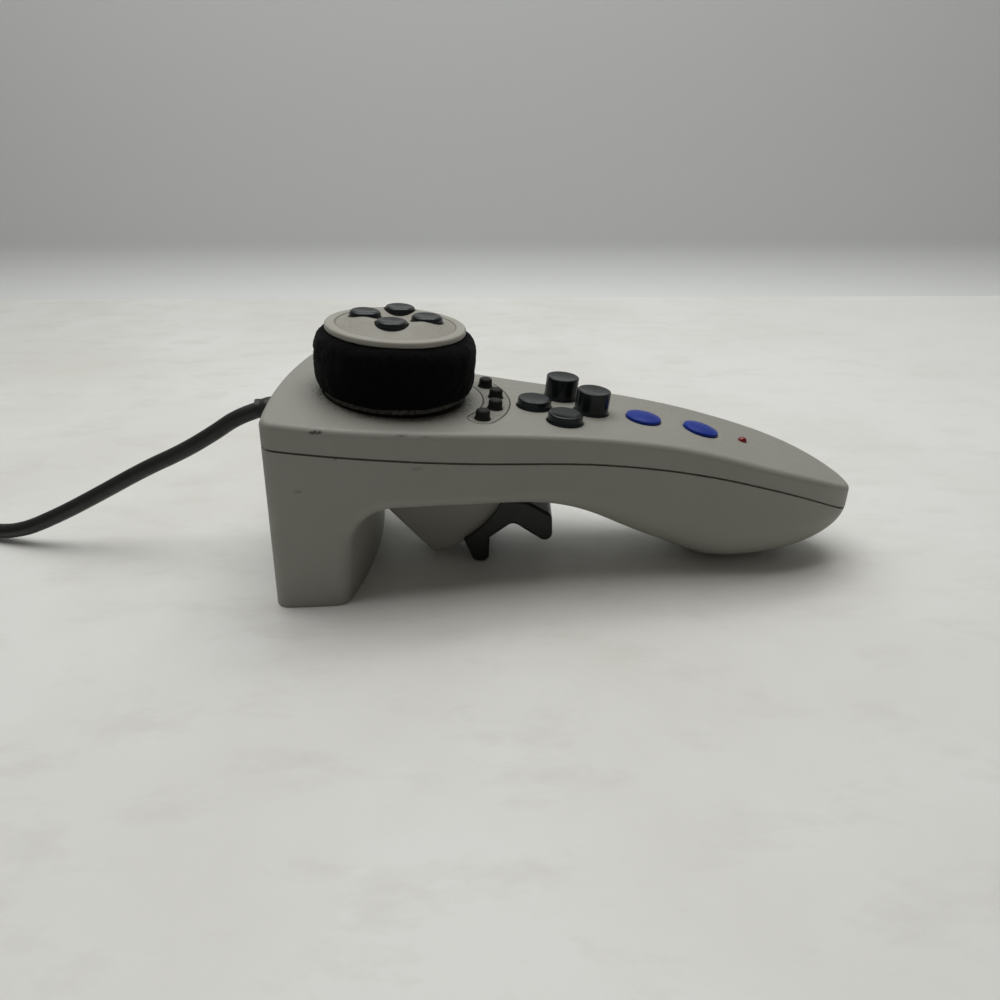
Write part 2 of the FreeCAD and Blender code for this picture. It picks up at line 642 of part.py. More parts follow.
def lower_housing(outer, inner, middle):
    """Leg, underside and belly, with the wedge, the trigger's ears and the screw posts."""
    px, pz = TRIGGER_PIVOT
    under_seam = under_curve(SEAM, 0)
    shell = outer.common(under_seam).cut(inner)
    line = under_seam.cut(under_curve(SEAM, GROOVE)).cut(middle)
    shell = shell.cut(line)
    wedge = wedge_shape(0, WEDGE_HALF, UNDERSIDE_Z + WALL / 2)

    def at_tip(p):
        out = p - Vector(px, p.y, pz)
        return (abs(p.y) < WEDGE_HALF + 0.1 and out.z < -0.85 * WEDGE_RADIUS and out.x < WEDGE_TIP_REACH
                and abs(out.Length - WEDGE_RADIUS) < 0.05)

    tip = fillet_where(wedge, WEDGE_TIP_RADIUS, at_tip)
    wedge = fillet_where(tip, WEDGE_EDGE_RADIUS,
                         lambda p: abs(abs(p.y) - WEDGE_HALF) < 0.01 and p.z < UNDERSIDE_Z)
    wedge_space = wedge_shape(-WEDGE_WALL, WEDGE_HALF - WEDGE_WALL, UNDERSIDE_Z + WALL + 1)
    shell = shell.fuse(wedge).cut(wedge_space)
    shell = shell.cut(pie(WEDGE_RADIUS - 5, WEDGE_RADIUS + 1, TRIGGER_FROM - TRIGGER_PUSH - 1.5,
                          TRIGGER_TO + TRIGGER_PULL + 4, TRIGGER_WEB / 2 + 0.4))
    for side in (-1, 1):
        y0 = side * EAR_INNER if side > 0 else -EAR_INNER - EAR_THICKNESS
        foot = UNDERSIDE_Z + WALL / 2
        ear = side_plate([(px - EAR_RADIUS, foot, 0), (px + EAR_RADIUS, foot, 0),
                          (px + EAR_RADIUS, pz + EAR_RADIUS, 4.0), (px - EAR_RADIUS, pz + EAR_RADIUS, 4.0)],
                         y0, y0 + EAR_THICKNESS)
        bore = across(AXLE_RADIUS + RUNNING_CLEARANCE, y0, y0 + EAR_THICKNESS)
        shell = shell.fuse(ear).cut(bore)
    for x, y, meet in SHELL_SCREWS:
        post = rod(POST_RADIUS, x, y, 0.5, meet).common(middle)
        shell = shell.fuse(post)
        shell = shell.cut(rod(SCREW_HEAD_RADIUS + 0.3, x, y, -5, meet - SCREW_SEAT))
        shell = shell.cut(rod(SCREW_RADIUS + 0.2, x, y, -5, meet + 1))
    return shell.cut(relief_hole())


def relief_hole():
    x, z = CABLE_EXIT
    return Part.makeCylinder(RELIEF_RADIUS + 0.05, 14, Vector(x, 0, z), Vector(1, 0, 0))


def upper_housing(outer, inner, middle):
    """The deck with its holes, the wheel's seat and the posts that everything hangs from."""
    shell = outer.cut(under_curve(SEAM, 0)).cut(inner)
    boss = placed(rod(BUSH_OUTER + 2.6, 0, 0, BUSH_BOTTOM, 6), WHEEL).common(middle)
    shell = shell.fuse(boss)
    for x, y in BRACKET_POSTS:
        shell = shell.fuse(placed(rod(BRACKET_POST_RADIUS, x, y, BRACKET_TOP, 12), WHEEL).common(middle))
        shell = shell.cut(placed(rod(SCREW_RADIUS, x, y, BRACKET_TOP - 1, -4.0), WHEEL))
    for x, y in BOARD_POSTS:
        u = board_u(x)
        shell = shell.fuse(placed(rod(BOARD_POST_RADIUS, u, y, 0, 60), BOARD).common(middle))
        shell = shell.cut(placed(rod(BOARD_SCREW_RADIUS, u, y, -1, BOARD_SCREW_DEPTH + 1), BOARD))
    for x, y, meet in SHELL_SCREWS:
        shell = shell.fuse(rod(POST_RADIUS, x, y, meet, ABOVE_ALL).common(middle))
        shell = shell.cut(rod(SCREW_RADIUS, x, y, meet - 1, meet + SCREW_LENGTH - SCREW_SEAT + 1))
    shell = shell.cut(placed(rod(BASE_RADIUS + 0.5, 0, 0, -SEAT_DEPTH, 12), WHEEL))
    shell = shell.cut(placed(rod(BUSH_OUTER, 0, 0, -20, 12), WHEEL))
    shell = shell.cut(placed(rod(BUSH_FLANGE, 0, 0, -SEAT_DEPTH - BUSH_FLANGE_THICKNESS, 12), WHEEL))
    shell = shell.cut(crescent(0, 50, 70))
    for _, x, y, _ in FACE_SPOTS:
        shell = shell.cut(placed(rod(FACE_BASE_RADIUS + BUTTON_GAP, 0, 0, -8, 8), deck_place(x, y)))
    for x in CENTRE_XS:
        place = deck_place(x, 0)
        ball = dish_ball(DISH_RADIUS, DISH_DEPTH)
        shell = shell.cut(placed(Part.makeSphere(ball, Vector(0, 0, ball - DISH_DEPTH)), place))
        shell = shell.cut(placed(rod(CENTRE_RADIUS + BUTTON_GAP, 0, 0, -8, 8), place))
    shell = shell.cut(placed(rod(LAMP_RADIUS + 0.1, 0, 0, -8, 8), deck_place(LAMP_X, 0)))
    return shell.cut(relief_hole())


def board_u(x):
    """The board's own coordinate along it of the place below or above x."""
    return (x - BOARD_X0) * math.hypot(1, BOARD_SLOPE)


def stem_foot(x, y, travel):
    """Where the axis of a button meets the board, in the board's coordinates."""
    frame = deck_place(x, y)
    tip = BOARD.inverse().multVec(frame.multVec(Vector(0, 0, -button_depth(x, travel))))
    return tip.x, tip.y


def panel(outer, inner):
    """The crescent that carries the four small buttons, flush with the deck."""
    piece = outer.cut(inner).common(crescent(-CRESCENT_GAP, 50, 72))
    lip = under_curve(DECK, WALL + SEAT_GAP).cut(under_curve(DECK, WALL + CRESCENT_LIP_DEPTH))
    neck = under_curve(DECK, WALL - 0.2).cut(under_curve(DECK, WALL + 0.3))
    lip = lip.common(crescent(CRESCENT_LIP, 50, 72))
    neck = neck.common(crescent(-CRESCENT_GAP, 50, 72))
    piece = piece.multiFuse([neck, lip])
    for x, y in small_spots():
        place = deck_place(x, y)
        piece = piece.cut(placed(rod(SMALL_BASE_RADIUS + BUTTON_GAP, 0, 0, -8, 8), place))
        piece = piece.cut(placed(rod(SMALL_BASE_RADIUS + BUTTON_LIP + BUTTON_GAP, 0, 0, -8, -WALL), place))
    return piece.removeSplitter()


def wheel_drum():
    """Hub, base ring, drum wall and hollow spindle in one moulding."""
    body = turned([(SPINDLE_BORE, SPINDLE_BOTTOM, 0), (SPINDLE_RADIUS, SPINDLE_BOTTOM, 0.4),
                   (SPINDLE_RADIUS, BASE_BOTTOM, 0), (BASE_RADIUS, BASE_BOTTOM, 0.5),
                   (BASE_RADIUS, BASE_TOP, 0.8), (DRUM_RADIUS, BASE_TOP, 0), (DRUM_RADIUS, DRUM_TOP, 0),
                   (DRUM_RADIUS - DRUM_WALL, DRUM_TOP, 0), (DRUM_RADIUS - DRUM_WALL, BASE_TOP + 2, 0),
                   (SPINDLE_BORE, BASE_TOP + 2, 0)])
    for x, y in WHEEL_POSTS:
        body = body.fuse(rod(WHEEL_POST_RADIUS, x, y, BASE_TOP + 1, WHEEL_BOARD_Z))
        body = body.cut(rod(BOARD_SCREW_RADIUS, x, y, WHEEL_BOARD_Z - 6, WHEEL_BOARD_Z))
    return placed(body, WHEEL)


def foam_ring():
    bottom = BASE_TOP
    top = WHEEL_HEIGHT - CAP_THICKNESS
    low_edge, low_rise = FOAM_LOW_EDGE
    high_edge, high_drop = FOAM_HIGH_EDGE
    body = turned([(DRUM_RADIUS, bottom, 0), (low_edge, bottom, 1.8), (FOAM_RADIUS, bottom + low_rise, 5.0),
                   (FOAM_RADIUS, top - high_drop, 5.0), (high_edge, top, 1.4), (DRUM_RADIUS, top, 0)])
    return placed(body, WHEEL)


def wheel_cap():
    """The round cap: a flat rim, a raised ring with the four holes, and a dished middle."""
    top = WHEEL_HEIGHT
    low = top - CAP_THICKNESS
    skirt = DRUM_RADIUS - DRUM_WALL - RUNNING_CLEARANCE
    skirt_inner = skirt - 1.6
    foot = CAP_RADIUS - CAP_RIM_WIDTH
    ring, ring_rise, ring_round = CAP_RING
    dish, dish_rise, dish_round = CAP_DISH
    body = turned([(0, low, 0), (skirt_inner, low, 0), (skirt_inner, low - CAP_SKIRT_DEPTH, 0),
                   (skirt, low - CAP_SKIRT_DEPTH, 0), (skirt, low, 0), (CAP_RADIUS, low, 0.6),
                   (CAP_RADIUS, top, 0.8), (foot + 0.3, top, 0.2), (foot, top - CAP_RECESS, 0),
                   (ring, top + ring_rise, ring_round), (dish, top + dish_rise, dish_round),
                   (0, top + dish_rise, 0)])
    for _, x, y in DPAD_SPOTS:
        body = body.cut(rod(DPAD_RADIUS + DPAD_SKIRT + BUTTON_GAP, x, y, low - 5, top + 5))
    return placed(body, WHEEL)


def dpad_button(x, y):
    """A direction button in the wheel's cap: dished top, skirt and a flange under the cap."""
    top = WHEEL_HEIGHT + DPAD_PROUD
    low = WHEEL_HEIGHT - CAP_THICKNESS - SEAT_GAP
    foot = WHEEL_BOARD_Z + BOARD_THICKNESS + MAT_THICKNESS + DOME_HEIGHT + DPAD_TRAVEL + STEM_GAP
    base = DPAD_RADIUS + DPAD_SKIRT
    flange = base + 0.8
    flange_low = low - BUTTON_FLANGE
    body = turned([(0, foot, 0), (DPAD_STEM, foot, 0), (DPAD_STEM, flange_low, 0), (flange, flange_low, 0),
                   (flange, low, 0), (base, low, 0), (base, top - 2.0, 0.3), (DPAD_RADIUS, top - 1.5, 0.3),
                   (DPAD_RADIUS, top, DPAD_EDGE), (0, top, 0)])
    ball = dish_ball(DPAD_RADIUS - DPAD_EDGE - 0.2, DPAD_DISH)
    body = body.cut(Part.makeSphere(ball, Vector(0, 0, top + ball - DPAD_DISH)))
    body.translate(Vector(x, y, 0))
    return placed(body, WHEEL)


def gear(teeth, z0, z1, bore):
    """A spur gear whose teeth are thinned by the backlash, with its first tooth along +X."""
    pitch = GEAR_MODULE * teeth / 2
    root = pitch - 1.3 * GEAR_MODULE
    tip = pitch + 0.9 * GEAR_MODULE
    half = (math.pi * GEAR_MODULE / 2 - GEAR_BACKLASH) / 2
    points = []
    for i in range(teeth):
        centre = 2 * math.pi * i / teeth
        for radius, width, sign in ((root, half * 1.55, -1), (pitch, half, -1), (tip, half * 0.42, -1),
                                    (tip, half * 0.42, 1), (pitch, half, 1), (root, half * 1.55, 1)):
            angle = centre + sign * width / radius
            points.append(Vector(radius * math.cos(angle), radius * math.sin(angle), z0))
    points.append(points[0])
    body = Part.Face(Part.makePolygon(points)).extrude(Vector(0, 0, z1 - z0))
    return body.cut(rod(bore, 0, 0, z0 - 1, z1 + 1))


def pot(bush_radius, bush_length, bore, body_radius, height):
    """A rotary potentiometer, with its bush pointing up from height 0 and its body below."""
    body = Part.makeCylinder(body_radius, height, Vector(0, 0, -height))
    body = body.fuse(rod(bush_radius, 0, 0, 0, bush_length))
    tabs = Part.makeBox(7.0, 3.0, 1.2, Vector(-3.5, body_radius - 1.0, -height + 1.0))
    for x in (-2.5, 0, 2.5):
        tabs = tabs.fuse(Part.makeBox(0.8, 3.0, 0.4, Vector(x - 0.4, body_radius + 1.5, -height + 1.4)))
    return body.fuse(tabs).cut(rod(bore, 0, 0, -height + 1.5, bush_length + 1))


def screw(head_radius, head_height, radius, length):
    """A pan-head screw in its own frame: the head's seat is at height 0, the shank points up."""
    body = turned([(0, -head_height, 0), (head_radius, -head_height, 0.8), (head_radius, 0, 0),
                   (radius, 0, 0), (radius, length - 0.8, 0), (radius - 0.7, length, 0), (0, length, 0)])
    for turn in (0, 90):
        slot = Part.makeBox(head_radius * 1.1, 0.6, 0.9, Vector(-head_radius * 0.55, -0.3, -head_height))
        slot.rotate(Vector(0, 0, 0), Vector(0, 0, 1), turn)
        body = body.cut(slot)
    return body


def route_wire(points):
    """Straight runs joined by tangent arcs, each as large as its two runs allow."""
    spots = [Vector(*point) for point in points]
    edges = []
    start = spots[0]
    radii = []
    for before, here, after in zip(spots, spots[1:], spots[2:]):
        into = before - here
        out = after - here
        shorter = min(into.Length, out.Length)
        into.normalize()
        out.normalize()
        turn = math.pi - into.getAngle(out)
        back = 0.45 * shorter
        radius = back / math.tan(turn / 2)
        radii.append(radius)
        bisector = (into + out).normalize()
        middle = here + bisector * (radius / math.cos(turn / 2) - radius)
        first = here + into * back
        edges.append(Part.LineSegment(start, first).toShape())
        edges.append(Part.Arc(first, middle, here + out * back).toShape())
        start = here + out * back
    edges.append(Part.LineSegment(start, spots[-1]).toShape())
    return Part.Wire(edges), radii


def tube(points, radius):
    """A cable along a route, with its bend radii."""
    path, radii = route_wire(points)
    direction = (Vector(*points[1]) - Vector(*points[0])).normalize()
    ring = Part.Wire([Part.Circle(Vector(*points[0]), direction, radius).toShape()])
    solid = path.makePipeShell([ring], True, False)
    full = math.pi * radius ** 2 * path.Length
    print("cable run %.0f mm, radii %s, volume over section times length %.4f" % (
        path.Length, " ".join("%.0f" % r for r in radii), solid.Volume / full))
    return solid


def coil_point(turn):
    """The middle of the cable after some turns of the coil, anticlockwise from the far side."""
    flip = COIL_TURNS + 0.25
    inward = flip - abs(turn - flip)
    radius = COIL_OUTER - COIL_PITCH * inward
    rise = min(max((turn - COIL_TURNS) / 0.5, 0.0), 1.0)
    height = COIL_LIFT + CABLE_RADIUS + COIL_RISE * (3 * rise ** 2 - 2 * rise ** 3)
    angle = math.pi / 2 + 2 * math.pi * turn
    cx, cy = COIL_CENTRE
    return Vector(cx + radius * math.cos(angle), cy + radius * math.sin(angle), height)


def direction_at(point_at, turn):
    step = 0.0005
    return (point_at(turn + step) - point_at(turn - step)).normalize()


def arc_from(start, direction, end):
    """An arc that leaves start along direction and reaches end."""
    chord = end - start
    along = direction.dot(chord) / chord.Length
    across = direction - chord * (direction.dot(chord) / chord.Length ** 2)
    if across.Length < 1e-6:
        return Part.LineSegment(start, end).toShape()
    angle = math.acos(max(-1.0, min(1.0, along)))
    across.normalize()
    middle = start + chord * 0.5 + across * (chord.Length / 2 * math.tan(angle / 2))
    return Part.Arc(start, middle, end).toShape()


def biarc(p0, t0, p1, t1):
    """Two arcs that join two points and keep the direction at each."""
    v = p1 - p0
    t = t0 + t1
    a = 2 * (1 - t0.dot(t1))
    b = v.dot(t)
    reach = (-b + math.sqrt(b * b + a * v.dot(v))) / a
    meet = ((p0 + t0 * reach) + (p1 - t1 * reach)) * 0.5
    return [arc_from(p0, t0, meet), arc_from_end(meet, p1, t1)]


def arc_from_end(start, end, direction):
    """An arc from start that reaches end along direction."""
    back = arc_from(end, direction * -1, start)
    middle = back.valueAt((back.FirstParameter + back.LastParameter) / 2)
    return Part.Arc(start, middle, end).toShape()


def wound(point_at, turns, radius):
    """A wire or cable wound along a curve, on arcs that follow it a quarter turn at a time."""
    edges = []
    steps = round(turns * 4)
    for i in range(steps):
        a = turns * i / steps
        b = turns * (i + 1) / steps
        edges += biarc(point_at(a), direction_at(point_at, a), point_at(b), direction_at(point_at, b))
    path = Part.Wire(edges)
    ring = Part.Wire([Part.Circle(point_at(0), direction_at(point_at, 0), radius).toShape()])
    return path.makePipeShell([ring], True, False), path.Length


def spring(radius, wire, pitch, turns):
    """A helical spring round Z, upwards from height 0."""
    def point_at(turn):
        angle = 2 * math.pi * turn
        return Vector(radius * math.cos(angle), radius * math.sin(angle), pitch * turn)
    return wound(point_at, turns, wire)[0]


def coil():
    """The stored length of the cable: two layers of turns, in and out again."""
    solid, length = wound(coil_point, COIL_END, CABLE_RADIUS)
    samples = [coil_point(COIL_END * i / 1700) for i in range(1701)]
    least = min((samples[i] - samples[j]).Length for i in range(0, 1701, 2) for j in range(i + 100, 1701, 2))
    print("coil %.0f mm, volume over section times length %.4f, least gap to itself %.2f" % (
        length, solid.Volume / (math.pi * CABLE_RADIUS ** 2 * length), least - 2 * CABLE_RADIUS))
    return solid


def wheel_pieces():
    """The wheel with the board, rubber mat, screws and buttons inside it."""
    mat_z = WHEEL_BOARD_Z + BOARD_THICKNESS
    board = rod(WHEEL_BOARD_RADIUS, 0, 0, WHEEL_BOARD_Z, mat_z)
    board = board.cut(rod(WHEEL_LEAD_RADIUS * 2, 0, 0, 0, mat_z + 1))
    mat = rod(WHEEL_BOARD_RADIUS - 0.7, 0, 0, mat_z, mat_z + MAT_THICKNESS)
    screws = []
    for x, y in WHEEL_POSTS:
        board = board.cut(rod(BOARD_SCREW_RADIUS + 0.2, x, y, 0, mat_z + 1))
        mat = mat.cut(rod(BOARD_SCREW_HEAD + 0.4, x, y, 0, mat_z + 2))
        one = screw(BOARD_SCREW_HEAD, 1.4, BOARD_SCREW_RADIUS, BOARD_SCREW_DEPTH + BOARD_THICKNESS)
        one.rotate(Vector(0, 0, 0), Vector(1, 0, 0), 180)
        one.translate(Vector(x, y, mat_z))
        screws.append(placed(one, WHEEL))
    for _, x, y in DPAD_SPOTS:
        mat = mat.fuse(Part.makeCone(4.2, 2.8, DOME_HEIGHT, Vector(x, y, mat_z + MAT_THICKNESS)))
    pieces = {"wheel_drum": wheel_drum(), "foam_ring": foam_ring(), "wheel_cap": wheel_cap(),
              "wheel_board": placed(board, WHEEL), "direction_button_mat": placed(mat, WHEEL),
              "wheel_board_screws": Part.makeCompound(screws)}
    for name, x, y in DPAD_SPOTS:
        pieces["direction_button_" + name] = dpad_button(x, y)
    return pieces


def steering_bracket():
    """The plate below the gears that carries the potentiometer, and its three screws."""
    low = BRACKET_TOP - BRACKET_THICKNESS
    far_side = [(x, y, radius) for x, y, radius in BRACKET_HALF_OUTLINE]
    near_side = [(x, -y, radius) for x, y, radius in reversed(BRACKET_HALF_OUTLINE)]
    bracket = plate(near_side + far_side, low, BRACKET_TOP)
    bracket = bracket.cut(rod(SPINDLE_RADIUS + RUNNING_CLEARANCE, 0, 0, low - 1, 0))
    bracket = bracket.cut(rod(POT_BUSH_RADIUS, PINION_X, 0, low - 1, 0))
    screws = []
    for x, y in BRACKET_POSTS:
        bracket = bracket.cut(rod(SCREW_RADIUS + 0.15, x, y, low - 1, 0))
        one = screw(2.7, 1.6, SCREW_RADIUS, BRACKET_THICKNESS + 6.0)
        one.translate(Vector(x, y, low))
        screws.append(placed(one, WHEEL))
    return placed(bracket, WHEEL), Part.makeCompound(screws)


def steering_pieces():
    """Bush, centring spring, gears, potentiometer and bracket under the wheel."""
    bore = SPINDLE_RADIUS + RUNNING_CLEARANCE
    flange_low = -SEAT_DEPTH - BUSH_FLANGE_THICKNESS
    flange_top = BASE_BOTTOM - SEAT_GAP
    bush = turned([(bore, BUSH_BOTTOM, 0), (BUSH_OUTER, BUSH_BOTTOM, 0), (BUSH_OUTER, flange_low, 0),
                   (BUSH_FLANGE, flange_low, 0), (BUSH_FLANGE, flange_top, 0), (bore, flange_top, 0)])
    centring = spring(BUSH_OUTER + 3.7, SPRING_WIRE, 1.1, 2)
    centring.translate(Vector(0, 0, BUSH_BOTTOM + 0.35))
    clip_low = GEAR_BOTTOM - CLIP_THICKNESS
    clip = rod(CLIP_RADIUS, 0, 0, clip_low, GEAR_BOTTOM).cut(rod(SPINDLE_RADIUS, 0, 0, clip_low - 1, 0))
    clip = clip.cut(Part.makeBox(10, 6, 10, Vector(0, -3, clip_low - 5)))
    pinion = gear(PINION_TEETH, GEAR_BOTTOM, GEAR_TOP, POT_SHAFT_RADIUS)
    pinion.rotate(Vector(0, 0, 0), Vector(0, 0, 1), 180.0 / PINION_TEETH)
    pinion.translate(Vector(PINION_X, 0, 0))
    bracket_low = BRACKET_TOP - BRACKET_THICKNESS
    shaft = rod(POT_SHAFT_RADIUS, PINION_X, 0, bracket_low - POT_HEIGHT + 1.7, GEAR_TOP - 0.2)
    turning_pot = pot(POT_BUSH_RADIUS, BRACKET_THICKNESS, POT_SHAFT_RADIUS + RUNNING_CLEARANCE,
                      POT_RADIUS, POT_HEIGHT)
    turning_pot.translate(Vector(PINION_X, 0, bracket_low))
    bracket, screws = steering_bracket()
    return {"spindle_bush": placed(bush, WHEEL), "centring_spring": placed(centring, WHEEL),
            "steering_gear": placed(gear(GEAR_TEETH, GEAR_BOTTOM, GEAR_TOP, SPINDLE_RADIUS), WHEEL),
            "spindle_clip": placed(clip, WHEEL), "steering_pinion": placed(pinion, WHEEL),
            "steering_pot_shaft": placed(shaft, WHEEL), "steering_pot": placed(turning_pot, WHEEL),
            "steering_bracket": bracket, "bracket_screws": screws}


def trigger():
    """Two curved arms that straddle the wedge, carried by a web that turns on the axle."""
    px, pz = TRIGGER_PIVOT

    def at(angle, beyond):
        turn = math.radians(angle)
        reach = WEDGE_RADIUS + beyond
        return (px + reach * math.cos(turn), pz + reach * math.sin(turn))

    corners = [at(angle, beyond) + (radius,) for angle, beyond, radius in TRIGGER_CORNERS]
    ends = [at(angle, -TRIGGER_CHEEK) + (0,) for angle in (TRIGGER_FROM, TRIGGER_TO)]
    block = side_plate([ends[0]] + corners + [ends[1]], -TRIGGER_HALF, TRIGGER_HALF)
    inside = WEDGE_RADIUS - TRIGGER_CHEEK
    block = block.cut(across(inside, -TRIGGER_HALF - 1, TRIGGER_HALF + 1))
    block = fillet_where(block, TRIGGER_EDGE_RADIUS, lambda p: abs(abs(p.y) - TRIGGER_HALF) < 0.01
                         and (p - Vector(px, p.y, pz)).Length > inside + 0.3)
    slot_half = WEDGE_HALF + TRIGGER_GAP
    block = block.cut(across(WEDGE_RADIUS + TRIGGER_GAP, -slot_half, slot_half))
    web = pie(TRIGGER_HUB_RADIUS - 1.5, WEDGE_RADIUS + TRIGGER_GAP + 1.0, TRIGGER_FROM + 2.0,
              TRIGGER_TO - 3.0, TRIGGER_WEB / 2)
    hub = across(TRIGGER_HUB_RADIUS, -TRIGGER_HUB_HALF, TRIGGER_HUB_HALF)
    bore = across(AXLE_RADIUS, -TRIGGER_HUB_HALF, TRIGGER_HUB_HALF)
    return block.multiFuse([web, hub]).cut(bore).removeSplitter()


def trigger_pieces():
    """The trigger with its axle, its potentiometer and a spring on each side of the hub."""
    px, pz = TRIGGER_PIVOT
    sensor = rod(TRIGGER_POT_RADIUS, 0, 0, -POT_HEIGHT, 0)
    sensor = sensor.cut(rod(AXLE_RADIUS + RUNNING_CLEARANCE, 0, 0, -POT_HEIGHT + 1.2, 1))
    tab = Part.makeBox(3.0, 7.0, 1.2, Vector(TRIGGER_POT_RADIUS - 1.0, -3.5, -POT_HEIGHT + 1.0))
    sensor = sensor.fuse(tab)
    sensor.rotate(Vector(0, 0, 0), Vector(1, 0, 0), 90)
    sensor.translate(Vector(px, EAR_INNER + EAR_THICKNESS, pz))
    springs = []
    turns = 3
    pitch = 1.0
    for side in (-1, 1):
        one = spring(3.5, SPRING_WIRE, pitch, turns)
        one.rotate(Vector(0, 0, 0), Vector(1, 0, 0), -90)
        clear = TRIGGER_HUB_HALF + 2 * SPRING_WIRE
        one.translate(Vector(px, clear if side > 0 else -clear - turns * pitch, pz))
        springs.append(one)
    return {"trigger": trigger(), "trigger_axle": across(AXLE_RADIUS, -AXLE_NEAR, AXLE_FAR),
            "trigger_pot": sensor, "trigger_springs": Part.makeCompound(springs)}


def centre_button(x):
    """A round button whose domed top stands a little out of its dished well."""
    depth = button_depth(x, CENTRE_TRAVEL)
    seat = -WALL - SEAT_GAP
    flange = CENTRE_RADIUS + BUTTON_LIP
    body = turned([(0, -depth, 0), (CENTRE_STEM, -depth, 0), (CENTRE_STEM, seat - BUTTON_FLANGE, 0),
                   (flange, seat - BUTTON_FLANGE, 0), (flange, seat, 0), (CENTRE_RADIUS, seat, 0),
                   (CENTRE_RADIUS, CENTRE_PROUD + 1, 0), (0, CENTRE_PROUD + 1, 0)])
    dome = Part.makeSphere(CENTRE_CROWN, Vector(0, 0, CENTRE_PROUD - CENTRE_CROWN))
    body = body.common(dome.fuse(rod(flange + 1, 0, 0, -depth - 1, 0)))
    return fillet_where(body, CENTRE_EDGE,
                        lambda p: p.z > 0.1 and math.hypot(p.x, p.y) > CENTRE_RADIUS - 0.01)


def power_lamp():
    """A small red lamp that shows through the deck, on two legs from the board."""
    flange = LAMP_RADIUS + 0.4
    seat = -WALL - 0.1
    body = turned([(0, -LAMP_DEPTH, 0), (flange, -LAMP_DEPTH, 0), (flange, seat, 0), (LAMP_RADIUS, seat, 0),
                   (LAMP_RADIUS, LAMP_PROUD, LAMP_RADIUS * 0.93), (0, LAMP_PROUD, 0)])
    drop = deck_z(LAMP_X) - (BOARD_Z0 - BOARD_SLOPE * (LAMP_X - BOARD_X0)) - 1.2
    for y in (-0.9, 0.9):
        body = body.fuse(rod(0.25, 0, y, -drop, -LAMP_DEPTH + 0.5))
    return placed(body, deck_place(LAMP_X, 0))


def deck_pieces():
    """The buttons on the deck and the lamp."""
    pieces = {"power_lamp": power_lamp()}
    for i, (x, y) in enumerate(small_spots()):
        body = button(SMALL_RADIUS, SMALL_BASE_RADIUS, SMALL_PROUD, SMALL_EDGE, 0,
                      button_depth(x, SMALL_TRAVEL), SMALL_STEM)
        pieces["small_button_%d" % (i + 1)] = placed(body, deck_place(x, y))
    for name, x, y, proud in FACE_SPOTS:
        body = button(FACE_RADIUS, FACE_BASE_RADIUS, proud, FACE_EDGE, FACE_DISH,
                      button_depth(x, FACE_TRAVEL), FACE_STEM)
        pieces["face_button_" + name] = placed(body, deck_place(x, y))
    for i, x in enumerate(CENTRE_XS):
        pieces["centre_button_%d" % (i + 1)] = placed(centre_button(x), deck_place(x, 0))
    return pieces


def main_board():
    """The main circuit board, broad under the small buttons and narrow in the handle."""
    length = board_u(BOARD_X1)
    step = BOARD_WIDE_LENGTH
    taper = step + 6
    side = [(taper, BOARD_HALF, 3), (step, BOARD_WIDE_HALF, 3), (0, BOARD_WIDE_HALF, 2)]
    near = [(u, -y, radius) for u, y, radius in reversed(side)]
    body = plate(near + [(length, -BOARD_HALF, 2), (length, BOARD_HALF, 2)] + side, -BOARD_THICKNESS, 0)
    for x, y in BOARD_POSTS:
        body = body.cut(rod(BOARD_SCREW_RADIUS + 0.15, board_u(x), y, -5, 5))
    return placed(body, BOARD)


def rubber_mat(x0, x1, half, domes):
    """A rubber sheet on the board from x0 to x1, with a dome under each button."""
    corners = [(board_u(x), y, 1.0) for x, y in ((x0, -half), (x1, -half), (x1, half), (x0, half))]
    body = plate(corners, 0, MAT_THICKNESS)
    for x, y, travel, top in domes:
        u, v = stem_foot(x, y, travel)
        body = body.fuse(Part.makeCone(top + 1.4, top + 0.4, DOME_HEIGHT, Vector(u, v, MAT_THICKNESS)))
    for x, y in BOARD_POSTS:
        body = body.cut(rod(BOARD_POST_RADIUS + 0.4, board_u(x), y, -1, 5))
    return placed(body, BOARD)


